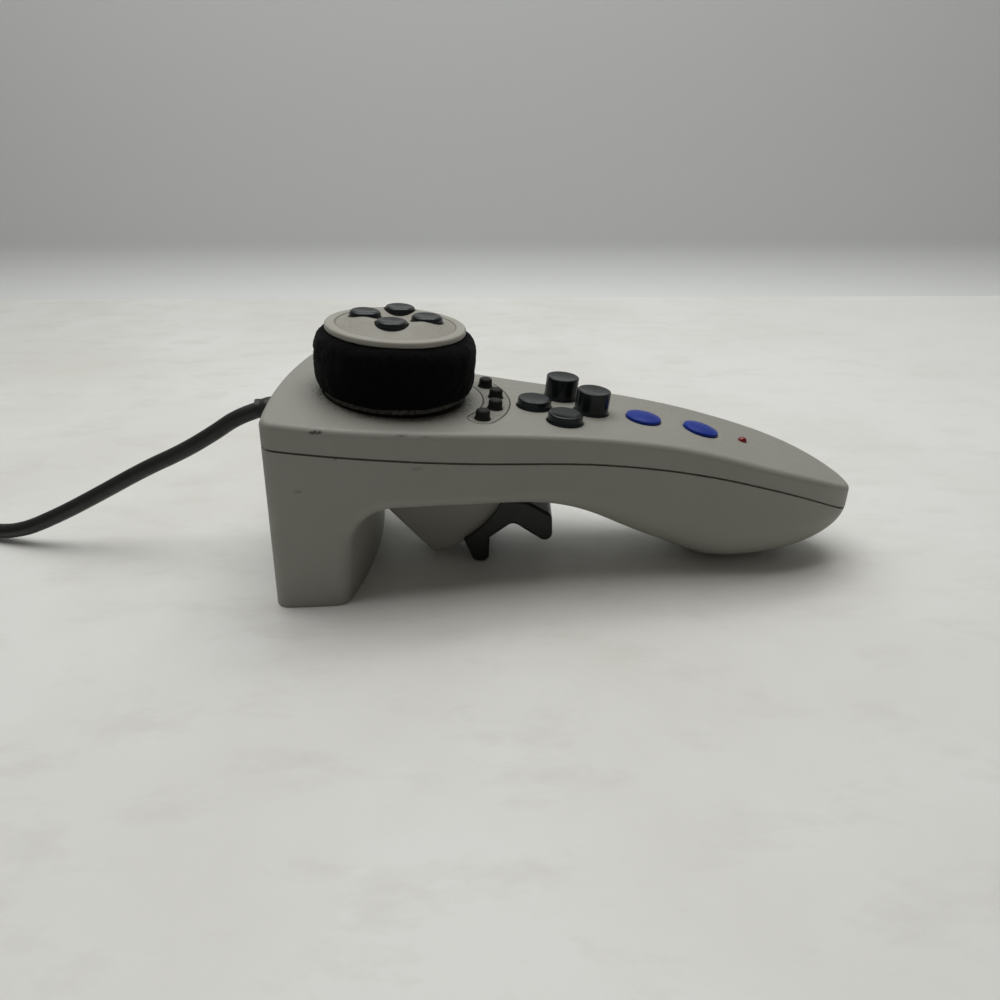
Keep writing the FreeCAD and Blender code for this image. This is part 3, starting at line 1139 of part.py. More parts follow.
def board_pieces():
    """The main board with its rubber mats, screws, chips and connectors."""
    turn = math.radians(SMALL_ANGLES[0])
    crescent_x0 = CRESCENT_X + CRESCENT_RADIUS * math.cos(turn) - SMALL_BASE_RADIUS - 3 * MAT_MARGIN
    crescent_x0 = max(crescent_x0, BOARD_X0 + MAT_MARGIN)
    crescent_x1 = CRESCENT_X + CRESCENT_RADIUS + SMALL_BASE_RADIUS + MAT_MARGIN / 2
    crescent_half = CRESCENT_RADIUS * math.sin(turn) + SMALL_BASE_RADIUS + MAT_MARGIN
    face_x0 = crescent_x1 + MAT_MARGIN / 2
    face_x1 = DIAMOND_X + DIAMOND_HALF_X + FACE_RADIUS
    face_half = DIAMOND_HALF_Y + FACE_STEM + MAT_MARGIN
    centre_reach = CENTRE_RADIUS + MAT_MARGIN / 4
    mats = {
        "small_button_mat": rubber_mat(crescent_x0, crescent_x1, crescent_half,
                                       [(x, y, SMALL_TRAVEL, 1.0) for x, y in small_spots()]),
        "face_button_mat": rubber_mat(face_x0, face_x1, face_half,
                                      [(x, y, FACE_TRAVEL, 1.6) for _, x, y, _ in FACE_SPOTS]),
        "centre_button_mat": rubber_mat(CENTRE_XS[0] - centre_reach, CENTRE_XS[1] + centre_reach, 9.0,
                                        [(x, 0, CENTRE_TRAVEL, 1.6) for x in CENTRE_XS])}
    screws = []
    for x, y in BOARD_POSTS:
        one = screw(BOARD_SCREW_HEAD, 1.4, BOARD_SCREW_RADIUS, BOARD_THICKNESS + BOARD_SCREW_DEPTH)
        one.translate(Vector(board_u(x), y, -BOARD_THICKNESS))
        screws.append(placed(one, BOARD))
    chips = []
    for (u, v), (length, width, height) in CHIPS:
        chips.append(Part.makeBox(length, width, height, Vector(u, v, -BOARD_THICKNESS - height)))
    u, v, radius, height = CAPACITOR
    chips.append(rod(radius, u, v, -BOARD_THICKNESS - height, -BOARD_THICKNESS))
    length, width, height = CONNECTOR
    connectors = []
    for side in (-1, 1):
        corner = Vector(CONNECTOR_U, side * CONNECTOR_V - width / 2, -BOARD_THICKNESS - height)
        connectors.append(placed(Part.makeBox(length, width, height, corner), BOARD))
    pieces = {"main_board": main_board(), "board_screws": Part.makeCompound(screws),
              "board_components": Part.makeCompound([placed(chip, BOARD) for chip in chips]),
              "board_connectors": Part.makeCompound(connectors)}
    pieces.update(mats)
    return pieces


def casing_screws():
    """The screws that close the casing from below."""
    one = screw(SCREW_HEAD_RADIUS, 2.0, SCREW_RADIUS, SCREW_LENGTH)
    return Part.makeCompound([placed(one, Placement(Vector(x, y, meet - SCREW_SEAT), Rotation()))
                              for x, y, meet in SHELL_SCREWS])


def inner_leads():
    """The two leads inside: from the cable and from the wheel to the board's connectors."""
    lead_w = -BOARD_THICKNESS - CONNECTOR[2] / 2

    def arrival(side):
        return [tuple(BOARD.multVec(Vector(u, side * CONNECTOR_V, lead_w)))
                for u in (CONNECTOR_U - 6, CONNECTOR_U)]

    exit_z = CABLE_EXIT[1]
    start = RELIEF_INNER_X
    supply = [(start, 0, exit_z), (start + 2.7, 0, exit_z), (start + 3.7, -7, exit_z - 2.4),
              (-92.5, -15, 47.5), (-85, -21.5, 43.6), (-72, -24.5, 43.2), (-58, -22, 43.5), (-47, -14, 42.0)]
    top = WHEEL.multVec(Vector(0, 0, WHEEL_BOARD_Z - 0.3))
    bend = WHEEL.multVec(Vector(0, 0, SPINDLE_BOTTOM - 1.3))
    aside = WHEEL.multVec(Vector(3.4, 0.8, SPINDLE_BOTTOM - 1.3))
    signal = [tuple(top), tuple(bend), tuple(aside), (-52, 5.5, 47.6), (-45, 8.4, 43.6)]
    return {"inner_lead": tube(supply + arrival(-1), INNER_LEAD_RADIUS),
            "wheel_lead": tube(signal + arrival(1), WHEEL_LEAD_RADIUS)}


def strain_relief():
    """A grommet through the front wall, with a flange inside and a collar outside."""
    x, z = CABLE_EXIT
    depth = RELIEF_INNER_X - x
    flange = RELIEF_RADIUS + RELIEF_FLANGE
    flange_start = depth - RELIEF_FLANGE_THICKNESS
    collar = CABLE_RADIUS + 0.9
    body = turned([(0, -1.5, 0), (collar, -1.5, 0), (collar, 0.8, 0), (RELIEF_RADIUS - 0.4, 3.0, 1.0),
                   (RELIEF_RADIUS, 7.0, 0), (RELIEF_RADIUS, flange_start, 0), (flange, flange_start, 0),
                   (flange, depth, 0), (0, depth, 0)])
    body.rotate(Vector(0, 0, 0), Vector(0, 1, 0), 90)
    body.translate(Vector(x, 0, z))
    outward = (Vector(*LEAD_ROUTE[1]) - Vector(*LEAD_ROUTE[0])).normalize()
    return body.cut(Part.makeCylinder(RELIEF_RADIUS + 3, 9, Vector(*LEAD_ROUTE[0]), outward))


def plug(x, y):
    """A plain moulded plug that lies on the table, and the shell at its mouth."""
    half = PLUG_WIDTH / 2
    z = PLUG_HEIGHT / 2
    body = Part.makeBox(PLUG_LENGTH, PLUG_WIDTH, PLUG_HEIGHT, Vector(x + PLUG_NECK, y - half, 0))
    body = body.makeFillet(PLUG_EDGE_RADIUS, [edge for edge in body.Edges if abs(edge.tangentAt(0).x) > 0.9])
    neck = Part.makeCone(CABLE_RADIUS + 1.0, z - 0.5, PLUG_NECK, Vector(x, y, z), Vector(1, 0, 0))
    body = body.fuse(neck)
    width, depth, spacing = PLUG_GROOVE
    for i in range(PLUG_GROOVES):
        groove_x = x + 2 * PLUG_NECK + spacing * i
        for side in (-1, 1):
            corner = Vector(groove_x, y + side * half - depth / 2, 2.5)
            body = body.cut(Part.makeBox(width, depth, PLUG_HEIGHT - 5, corner))
    mouth = x + PLUG_NECK + PLUG_LENGTH
    step = SHELL_STEP
    wall = SHELL_WALL
    shell = Part.makeBox(SHELL_LENGTH, PLUG_WIDTH - 2 * step, PLUG_HEIGHT - 2 * step,
                         Vector(mouth, y - half + step, step))
    hollow = Part.makeBox(SHELL_LENGTH, PLUG_WIDTH - 2 * (step + wall), PLUG_HEIGHT - 2 * (step + wall),
                          Vector(mouth + 1.5 * wall, y - half + step + wall, step + wall))
    return body, shell.cut(hollow)


def cable_tie():
    """A soft band round all the turns, on the side towards the controller."""
    cx, cy = COIL_CENTRE
    inner = COIL_OUTER - COIL_PITCH * (COIL_TURNS - 0.25) - CABLE_RADIUS - 1.0
    outer = COIL_OUTER - COIL_PITCH * 0.75 + CABLE_RADIUS + 0.3
    top = COIL_LIFT + 2 * CABLE_RADIUS + COIL_RISE + 0.2
    band = TIE_BAND
    frame = Part.makeBox(outer - inner + 2 * band, TIE_WIDTH, top + band,
                         Vector(cx + inner - band, cy - TIE_WIDTH / 2, 0))
    frame = frame.makeFillet(1.6, [edge for edge in frame.Edges if abs(edge.tangentAt(0).y) > 0.9])
    hole = Part.makeBox(outer - inner, TIE_WIDTH + 2, top - band,
                        Vector(cx + inner, cy - TIE_WIDTH / 2 - 1, band))
    return frame.cut(hole)


def cable_pieces():
    """The strain relief, the cable's free run, its stored coil with a tie, and the plug."""
    end = coil_point(COIL_END)
    side = end.y + TAIL_SIDE
    lie = PLUG_HEIGHT / 2
    tail = [tuple(end), (end.x + TAIL_STEPS[0], end.y, end.z), (end.x + TAIL_STEPS[1], side, lie),
            (end.x + TAIL_STEPS[2], side, lie)]
    body, shell = plug(end.x + TAIL_STEPS[2], side)
    return {"strain_relief": strain_relief(), "cable_lead": tube(LEAD_ROUTE, CABLE_RADIUS),
            "cable_coil": coil(), "cable_tail": tube(tail, CABLE_RADIUS), "plug_body": body,
            "plug_shell": shell, "cable_tie": cable_tie()}


def build():
    """All the pieces, by name."""
    outer = casing_form(0, True)
    inner = casing_form(WALL)
    middle = casing_form(WALL / 2)
    parts = {"lower_housing": lower_housing(outer, inner, middle),
             "upper_housing": upper_housing(outer, inner, middle),
             "small_button_panel": panel(outer, inner),
             "casing_screws": casing_screws()}
    for group in (wheel_pieces, steering_pieces, trigger_pieces, deck_pieces, board_pieces, inner_leads,
                  cable_pieces):
        parts.update(group())
    return parts


os.makedirs("parts", exist_ok=True)
PARTS = build()
for name, shape in PARTS.items():
    shape.exportStep("parts/%s.step" % name)
    print("%-26s solids %d valid %s volume %.1f" % (name, len(shape.Solids), shape.isValid(), shape.Volume))
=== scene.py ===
"""Looks, light and camera of the one-handed racing wheel controller.

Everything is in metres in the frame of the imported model: X runs along the controller
from the cable end to the palm end, Y away from the camera and Z up. The solids that
already have their true shape keep it and get a material. The foam ring and the cable
are modelled here.
"""
import json
import math

import bpy
from mathutils import Matrix, Vector, noise


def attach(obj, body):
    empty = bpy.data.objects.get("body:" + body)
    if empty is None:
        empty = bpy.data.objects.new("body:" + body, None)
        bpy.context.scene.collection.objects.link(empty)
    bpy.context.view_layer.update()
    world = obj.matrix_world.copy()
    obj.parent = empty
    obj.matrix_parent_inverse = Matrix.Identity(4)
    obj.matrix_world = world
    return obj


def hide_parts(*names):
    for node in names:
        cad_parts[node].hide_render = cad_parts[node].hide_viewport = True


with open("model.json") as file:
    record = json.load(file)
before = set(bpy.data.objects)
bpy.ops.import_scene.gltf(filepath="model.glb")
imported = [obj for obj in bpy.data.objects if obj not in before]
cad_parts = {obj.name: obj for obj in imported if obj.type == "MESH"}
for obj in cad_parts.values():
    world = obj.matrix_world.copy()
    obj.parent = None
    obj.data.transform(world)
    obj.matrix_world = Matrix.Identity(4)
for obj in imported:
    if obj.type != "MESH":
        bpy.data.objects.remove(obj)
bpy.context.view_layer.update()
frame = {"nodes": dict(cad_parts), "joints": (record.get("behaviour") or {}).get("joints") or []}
NODES = frame["nodes"]
JOINTS = {joint["name"]: joint for joint in frame["joints"]}

# Camera, fitted to the photograph
PHOTO_WIDTH = 1000
FOCAL_PIXELS = 751.0
SENSOR_WIDTH = 36.0
CAMERA_AT = Vector((-0.02213, -0.25504, 0.14893))
CAMERA_PITCH = 0.4687
CAMERA_YAW = -0.0124
CAMERA_ROLL = 0.0061

# Wheel
WHEEL_AT = Vector(JOINTS["wheel_steer"]["pos_m"])
WHEEL_AXIS = Vector(JOINTS["wheel_steer"]["axis"]).normalized()
CAP_TOP = 0.0244                      # height of the cap's rim above the deck, along the axis
CAP_FACE = (0.0205, 0.0201)           # radii between which the cap's inner face fades in
CAP_SEAM_INSIDE = (0.01995, 0.0204)   # the dark seam round that face fades in between these radii
CAP_SEAM_OUTSIDE = (0.0209, 0.0205)   # and fades out between these
DIRT_REACH = (0.0252, 0.0310)         # dirt on the deck fades out between these distances
CONTACT_SHADE_BAND = (0.0250, 0.0255)       # painted shade: the solid dark line on the deck under the wheel's edge

# Crescent of small buttons
CRESCENT_X = -0.06036
CRESCENT_RADIUS = 0.0341
CRESCENT_HALF_WIDTH = 0.0050
CRESCENT_RIM = (0.0008, 0.0004)       # its dark rim fades in between these distances from the edge

# Relief of the moulded plastic's grain
GRAIN_DEPTH = 0.00006

# Cable
CABLE_RADIUS = 0.0029
LEAD_ROUTE = [(-0.1116, 0.0, 0.0564), (-0.1195, 0.0, 0.0540), (-0.1295, 0.0001, 0.0474),
              (-0.1425, 0.0, 0.0400), (-0.1580, -0.0003, 0.0332), (-0.1760, -0.0004, 0.0236),
              (-0.1960, 0.0004, 0.0132), (-0.2160, 0.0022, 0.0044), (-0.2360, 0.0076, 0.0030),
              (-0.2560, 0.0134, 0.0036), (-0.2760, 0.0134, 0.0036)]
COIL_CENTRE = (-0.276, -0.0315)
COIL_OUTER = 0.0449
COIL_PITCH = 0.0065
COIL_TURNS = 4
COIL_LIFT = 0.0007
COIL_RISE = 0.0063
COIL_CROSSING = 0.5       # turns in which the cable climbs onto the coil's lower layer
COIL_END = 2 * COIL_TURNS + COIL_CROSSING
COIL_POINTS_PER_TURN = 16
TAIL_STEPS = (0.009, 0.019, 0.028)
TAIL_SIDE = -0.0006
PLUG_HEIGHT = 0.013


def srgb(red, green, blue):
    """A colour written as 0 to 255, as Blender's linear values."""
    values = []
    for value in (red, green, blue):
        share = value / 255
        values.append(share / 12.92 if share <= 0.04045 else ((share + 0.055) / 1.055) ** 2.4)
    return (*values, 1.0)


class Paint:
    """A material that is built up node by node."""

    def __init__(self, name, colour, roughness, specular=0.5):
        self.material = bpy.data.materials.new(name)
        self.material.use_nodes = True
        self.nodes = self.material.node_tree.nodes
        self.links = self.material.node_tree.links
        self.shader = self.nodes["Principled BSDF"]
        self.shader.inputs["Base Color"].default_value = colour
        self.shader.inputs["Roughness"].default_value = roughness
        self.shader.inputs["Specular IOR Level"].default_value = specular
        self.place = self.nodes.new("ShaderNodeTexCoord").outputs["Object"]
        self.material.diffuse_color = colour

    def noise(self, scale, detail=2.0, rough=0.5, stretch=None):
        """Noise from 0 to 1 whose scale is in features per metre."""
        node = self.nodes.new("ShaderNodeTexNoise")
        node.inputs["Scale"].default_value = scale
        node.inputs["Detail"].default_value = detail
        node.inputs["Roughness"].default_value = rough
        place = self.place
        if stretch:
            mapping = self.nodes.new("ShaderNodeMapping")
            mapping.inputs["Scale"].default_value = stretch
            self.links.new(place, mapping.inputs["Vector"])
            place = mapping.outputs["Vector"]
        self.links.new(place, node.inputs["Vector"])
        return node.outputs["Fac"]

    def cells(self, scale):
        """The distance to the middle of the nearest of many random cells."""
        node = self.nodes.new("ShaderNodeTexVoronoi")
        node.inputs["Scale"].default_value = scale
        self.links.new(self.place, node.inputs["Vector"])
        return node.outputs["Distance"]

    def step(self, value, low, high, out_low=0.0, out_high=1.0):
        """Maps low..high onto out_low..out_high and stops there."""
        node = self.nodes.new("ShaderNodeMapRange")
        node.inputs["From Min"].default_value = low
        node.inputs["From Max"].default_value = high
        node.inputs["To Min"].default_value = out_low
        node.inputs["To Max"].default_value = out_high
        self.links.new(value, node.inputs["Value"])
        return node.outputs["Result"]

    def maths(self, kind, a, b=None):
        """One sum on one or two values, each a number or a socket."""
        node = self.nodes.new("ShaderNodeMath")
        node.operation = kind
        for socket, value in zip(node.inputs, (a, b)):
            if value is None:
                continue
            if isinstance(value, (int, float)):
                socket.default_value = value
            else:
                self.links.new(value, socket)
        return node.outputs["Value"]

    def times(self, first, *others):
        """The product of some values."""
        product = first
        for value in others:
            product = self.maths("MULTIPLY", product, value)
        return product

    def mix(self, share, a, b):
        """A colour between two others."""
        node = self.nodes.new("ShaderNodeMix")
        node.data_type = "RGBA"
        for name, value in (("Factor", share), ("A", a), ("B", b)):
            socket = [s for s in node.inputs if s.name == name and s.enabled][0]
            if isinstance(value, (int, float, tuple)):
                socket.default_value = value
            else:
                self.links.new(value, socket)
        return [s for s in node.outputs if s.enabled][0]

    def over(self, surface, colour, *masks):
        """The surface with a colour laid over it, as strongly as the masks' product."""
        return self.mix(self.times(*masks), surface, colour)

    def xyz(self, shift=(0, 0, 0)):
        """The three coordinates of the place on the piece, after a shift."""
        add = self.nodes.new("ShaderNodeVectorMath")
        add.operation = "ADD"
        add.inputs[1].default_value = shift
        self.links.new(self.place, add.inputs[0])
        split = self.nodes.new("ShaderNodeSeparateXYZ")
        self.links.new(add.outputs["Vector"], split.inputs["Vector"])
        return split.outputs

    def far_from(self, centre):
        """The distance to a point."""
        node = self.nodes.new("ShaderNodeVectorMath")
        node.operation = "DISTANCE"
        node.inputs[1].default_value = centre
        self.links.new(self.place, node.inputs[0])
        return node.outputs["Value"]

    def near(self, centre, reach, soft=0.5):
        """1 inside a stretched blob round a point, falling to 0 at its reach."""
        mapping = self.nodes.new("ShaderNodeMapping")
        mapping.vector_type = "TEXTURE"
        mapping.inputs["Location"].default_value = centre
        mapping.inputs["Scale"].default_value = reach
        self.links.new(self.place, mapping.inputs["Vector"])
        node = self.nodes.new("ShaderNodeVectorMath")
        node.operation = "LENGTH"
        self.links.new(mapping.outputs["Vector"], node.inputs[0])
        return self.step(node.outputs["Value"], soft, 1.0, 1.0, 0.0)

    def colour(self, value):
        self.links.new(value, self.shader.inputs["Base Color"])

    def roughness(self, value):
        self.links.new(value, self.shader.inputs["Roughness"])

    def bump(self, value, strength, distance):
        """Relief on top of the relief that is there already."""
        node = self.nodes.new("ShaderNodeBump")
        node.inputs["Strength"].default_value = strength
        node.inputs["Distance"].default_value = distance
        self.links.new(value, node.inputs["Height"])
        before = self.shader.inputs["Normal"]
        if before.is_linked:
            self.links.new(before.links[0].from_socket, node.inputs["Normal"])
        self.links.new(node.outputs["Normal"], before)


def moulded(name, colour, roughness, grain=1500.0, grain_depth=0.35, variation=0.06, specular=0.4):
    """Moulded plastic: a fine grain, slight colour drift and uneven gloss."""
    paint = Paint(name, colour, roughness, specular)
    drift = paint.noise(38.0, 4.0)
    dark = tuple(c * (1 - variation) for c in colour[:3]) + (1.0,)
    light = tuple(min(1.0, c * (1 + variation)) for c in colour[:3]) + (1.0,)
    paint.colour(paint.mix(drift, dark, light))
    paint.roughness(paint.step(paint.noise(210.0, 3.0), 0.3, 0.7, roughness - 0.06, roughness + 0.06))
    paint.bump(paint.noise(grain, 3.0, 0.6), grain_depth, GRAIN_DEPTH)
    return paint


# Rubbed marks on the casing: place, reach along each axis and strength
SMUDGES = [((-0.0811, -0.0415, 0.0639), (0.0026, 0.0030, 0.0008), 0.95),
           ((-0.0550, -0.0388, 0.0611), (0.0034, 0.0030, 0.0009), 0.70),
           ((-0.0474, -0.0377, 0.0600), (0.0034, 0.0030, 0.0007), 0.85),
           ((-0.0511, -0.0383, 0.0495), (0.0030, 0.0030, 0.0009), 0.40),
           ((-0.0890, -0.0426, 0.0442), (0.0018, 0.0030, 0.0008), 0.40),
           ((-0.0761, -0.0418, 0.0547), (0.0007, 0.0030, 0.0007), 0.80)]


def casing_material():
    """Warm grey casing with rubbed dark marks on the near side, dirt round the wheel and a painted shade
    line under the wheel's edge.
    """
    colour = srgb(146, 145, 137)
    paint = Paint("casing_plastic", colour, 0.50, 0.38)
    drift = paint.mix(paint.noise(24.0, 4.0), srgb(142, 141, 133), srgb(150, 149, 142))
    aged = paint.step(paint.noise(9.0, 2.0), 0.45, 0.75, 0.0, 0.30)
    yellowed = paint.mix(aged, drift, srgb(147, 143, 129))
    specks = paint.step(paint.noise(1400.0, 2.0, 0.7), 0.68, 0.75)
    specks_where = paint.step(paint.noise(60.0, 3.0), 0.52, 0.68)
    surface = paint.over(yellowed, srgb(96, 90, 78), specks, specks_where, 0.4)
    rubbed = paint.step(paint.noise(900.0, 3.0, 0.65), 0.38, 0.50)
    for centre, reach, strength in SMUDGES:
        surface = paint.over(surface, srgb(58, 56, 52), paint.near(centre, reach), rubbed, strength)
    ring_distance = paint.far_from(tuple(WHEEL_AT))
    near_ring = paint.step(ring_distance, *DIRT_REACH, 1.0, 0.0)
    patches = paint.step(paint.noise(150.0, 2.0), 0.34, 0.60, 0.35, 1.0)
    grime = paint.step(paint.noise(950.0, 3.0, 0.75), 0.50, 0.54)
    # painted shade: a solid dark line on the deck right under the wheel's edge
    contact_shade = paint.step(ring_distance, *CONTACT_SHADE_BAND, 1.0, 0.0)
    # dirt specks round the wheel, together with the painted shade line under its edge
    dirt = paint.maths("MAXIMUM", paint.times(near_ring, grime, patches), contact_shade)
    paint.colour(paint.over(surface, srgb(30, 28, 24), dirt, 0.9))
    paint.roughness(paint.step(paint.noise(320.0, 3.0), 0.3, 0.7, 0.44, 0.58))
    paint.bump(paint.noise(1900.0, 2.0, 0.6), 0.30, GRAIN_DEPTH)
    return paint


def panel_material():
    """The crescent: the casing's plastic, with speckled dirt and a dark rim."""
    colour = srgb(141, 140, 132)
    paint = Paint("panel_plastic", colour, 0.55, 0.35)
    drift = paint.mix(paint.noise(40.0, 4.0), srgb(134, 133, 124), srgb(146, 145, 138))
    grime = paint.step(paint.noise(1500.0, 4.0, 0.72), 0.50, 0.60)
    where = paint.step(paint.noise(170.0, 3.0), 0.36, 0.62)
    speckled = paint.over(drift, srgb(50, 46, 39), grime, where, 0.75)
    x, y, _ = paint.xyz((-CRESCENT_X, 0, 0))
    from_axis = paint.maths("SQRT", paint.maths("ADD", paint.times(x, x), paint.times(y, y)))
    off_middle = paint.maths("ABSOLUTE", paint.maths("SUBTRACT", from_axis, CRESCENT_RADIUS))
    rim = paint.step(off_middle, *(CRESCENT_HALF_WIDTH - inset for inset in CRESCENT_RIM))
    paint.colour(paint.over(speckled, srgb(46, 42, 36), rim, 0.7))
    paint.bump(paint.noise(1900.0, 2.0, 0.6), 0.30, GRAIN_DEPTH)
    return paint


def cap_material():
    """The wheel's cap: a warmer grey, darker inside its seam, with dust in patches."""
    colour = srgb(160, 158, 148)
    paint = Paint("cap_plastic", colour, 0.50, 0.35)
    centre = WHEEL_AT + WHEEL_AXIS * CAP_TOP
    from_axis = paint.far_from(tuple(centre))
    face = paint.step(from_axis, *CAP_FACE)
    drift = paint.mix(paint.noise(50.0, 4.0), srgb(154, 152, 142), srgb(165, 163, 154))
    inner = paint.over(drift, srgb(143, 140, 130), face, 0.5)
    dust = paint.step(paint.noise(1300.0, 3.0, 0.75), 0.58, 0.66)
    where = paint.step(paint.noise(110.0, 2.0), 0.46, 0.62)
    dusty = paint.over(inner, srgb(62, 57, 48), dust, where, 0.55)
    inside = paint.step(from_axis, *CAP_SEAM_INSIDE)
    outside = paint.step(from_axis, *CAP_SEAM_OUTSIDE)
    paint.colour(paint.over(dusty, srgb(70, 66, 58), inside, outside, 0.55))
    paint.roughness(paint.step(paint.noise(260.0, 3.0), 0.3, 0.7, 0.42, 0.58))
    paint.bump(paint.noise(1700.0, 2.0, 0.6), 0.30, GRAIN_DEPTH)
    return paint


def drum_material():
    """The wheel's base ring: a grey darkened partly by painted shade, with dark dirt in its grain."""
    # The base grey is partly painted shade, for the ring's side under the foam.
    paint = moulded("drum_plastic", srgb(104, 102, 96), 0.46)
    colour = paint.shader.inputs["Base Color"].links[0].from_socket
    grime = paint.step(paint.noise(900.0, 3.0, 0.7), 0.46, 0.56)
    paint.colour(paint.over(colour, srgb(36, 34, 30), grime, 0.7))
    return paint


def dark_button_material():
    """Dark slate buttons: smooth and glossy, with a trace of dust."""
    colour = srgb(26, 31, 33)
    paint = Paint("dark_button", colour, 0.22, 0.34)
    haze = paint.mix(paint.noise(120.0, 4.0), srgb(23, 28, 30), srgb(30, 35, 37))
    dust = paint.step(paint.noise(1900.0, 2.0, 0.7), 0.70, 0.76)
    paint.colour(paint.over(haze, srgb(84, 86, 84), dust, 0.25))
    paint.roughness(paint.step(paint.noise(300.0, 3.0, 0.6), 0.35, 0.65, 0.17, 0.27))
    paint.bump(paint.noise(700.0, 1.0, 0.4), 0.03, 0.00004)
    return paint


def small_button_material():
    """The small buttons: matt dark olive grey with dust in the grain."""
    colour = srgb(36, 37, 34)
    paint = Paint("small_button", colour, 0.60, 0.18)
    drift = paint.mix(paint.noise(300.0, 4.0), srgb(32, 33, 30), srgb(41, 42, 38))
    dust = paint.step(paint.noise(2300.0, 3.0, 0.75), 0.60, 0.70)
    paint.colour(paint.over(drift, srgb(88, 86, 79), dust, 0.30))
    paint.bump(paint.noise(1600.0, 3.0, 0.6), 0.35, 0.00008)
    return paint


def blue_button_material():
    """Deep blue buttons with a soft gloss and a trace of haze."""
    colour = srgb(20, 48, 138)
    paint = Paint("blue_button", colour, 0.34, 0.16)
    paint.colour(paint.mix(paint.noise(140.0, 4.0), srgb(16, 43, 130), srgb(25, 54, 148)))
    paint.roughness(paint.step(paint.noise(500.0, 4.0, 0.7), 0.35, 0.65, 0.26, 0.42))
    paint.bump(paint.noise(1300.0, 2.0, 0.5), 0.10, 0.00005)
    return paint


def trigger_material():
    """Near-black trigger, glossier in some places than in others."""
    colour = srgb(15, 16, 17)
    paint = Paint("trigger_plastic", colour, 0.34, 0.4)
    paint.colour(paint.mix(paint.noise(160.0, 4.0), srgb(12, 13, 14), srgb(21, 22, 22)))
    paint.roughness(paint.step(paint.noise(300.0, 4.0, 0.7), 0.35, 0.65, 0.28, 0.46))
    paint.bump(paint.noise(1500.0, 2.0, 0.5), 0.12, 0.00005)
    return paint


def foam_material():
    """Flocked black foam: a nap that drinks the light, with a little grey lint."""
    colour = srgb(8, 8, 9)
    paint = Paint("foam", colour, 0.95, 0.06)
    nap = paint.noise(1900.0, 3.0, 0.75, (1.0, 1.0, 0.45))
    clumps = paint.noise(420.0, 3.0, 0.6)
    dark = paint.mix(clumps, srgb(4, 4, 5), srgb(12, 12, 13))
    lint = paint.step(paint.noise(2600.0, 2.0, 0.8), 0.70, 0.76)
    paint.colour(paint.over(dark, srgb(62, 62, 62), lint, 0.30))
    paint.shader.inputs["Sheen Weight"].default_value = 0.03
    paint.shader.inputs["Sheen Roughness"].default_value = 0.5
    paint.bump(nap, 0.7, 0.0002)
    paint.bump(clumps, 0.3, 0.0003)
    return paint


def cable_material():
    """Dark grey sheath of uneven gloss."""
    colour = srgb(32, 33, 31)
    paint = Paint("cable_sheath", colour, 0.46, 0.38)
    paint.colour(paint.mix(paint.noise(90.0, 4.0), srgb(28, 29, 27), srgb(38, 39, 36)))
    paint.roughness(paint.step(paint.noise(260.0, 4.0, 0.7), 0.35, 0.65, 0.38, 0.56))
    paint.bump(paint.noise(1100.0, 3.0, 0.6), 0.25, 0.00008)
    return paint


def lamp_material():
    """Dark red clear plastic, unlit."""
    colour = srgb(120, 14, 14)
    paint = Paint("lamp", colour, 0.12, 0.6)
    paint.colour(paint.mix(paint.noise(600.0, 2.0), srgb(104, 10, 12), srgb(140, 20, 18)))
    return paint


def steel_material():
    """Zinc-plated steel with fine turning marks."""
    colour = srgb(176, 176, 172)
    paint = Paint("steel", colour, 0.34)
    paint.shader.inputs["Metallic"].default_value = 1.0
    paint.colour(paint.mix(paint.noise(240.0, 3.0), srgb(160, 160, 156), srgb(188, 188, 184)))
    paint.bump(paint.noise(900.0, 2.0, 0.5, (1.0, 1.0, 8.0)), 0.15, 0.00004)
    return paint


def board_material():
    """Green lacquered circuit board with the copper tracks' faint relief."""
    colour = srgb(28, 92, 52)
    paint = Paint("circuit_board", colour, 0.34, 0.5)
    tracks = paint.step(paint.cells(260.0), 0.42, 0.5)
    paint.colour(paint.mix(tracks, srgb(24, 84, 46), srgb(42, 112, 66)))
    paint.bump(tracks, 0.3, 0.00005)
    return paint


MAKERS = {
    "casing": casing_material,
    "panel": panel_material,
    "cap": cap_material,
    "drum": drum_material,
    "dark_button": dark_button_material,
    "small_button": small_button_material,
    "blue_button": blue_button_material,
    "trigger": trigger_material,
    "foam": foam_material,
    "cable": cable_material,
    "lamp": lamp_material,
    "steel": steel_material,
    "board": board_material,
    "plug": lambda: moulded("plug_plastic", srgb(58, 58, 55), 0.42, 1200.0),
    "tie": lambda: moulded("tie_band", srgb(24, 24, 24), 0.66, 2200.0, 0.6),
    "mat": lambda: moulded("mat_rubber", srgb(150, 150, 144), 0.62, 900.0),
    "inner": lambda: moulded("inner_plastic", srgb(206, 202, 190), 0.46, 900.0),
    "pot": lambda: moulded("pot_body", srgb(44, 52, 78), 0.44, 1100.0),
    "parts": lambda: moulded("board_parts", srgb(28, 28, 28), 0.40, 1100.0),
    "lead": lambda: moulded("lead_sheath", srgb(34, 34, 34), 0.44, 1100.0),
}
MATERIALS = {name: make().material for name, make in MAKERS.items()}

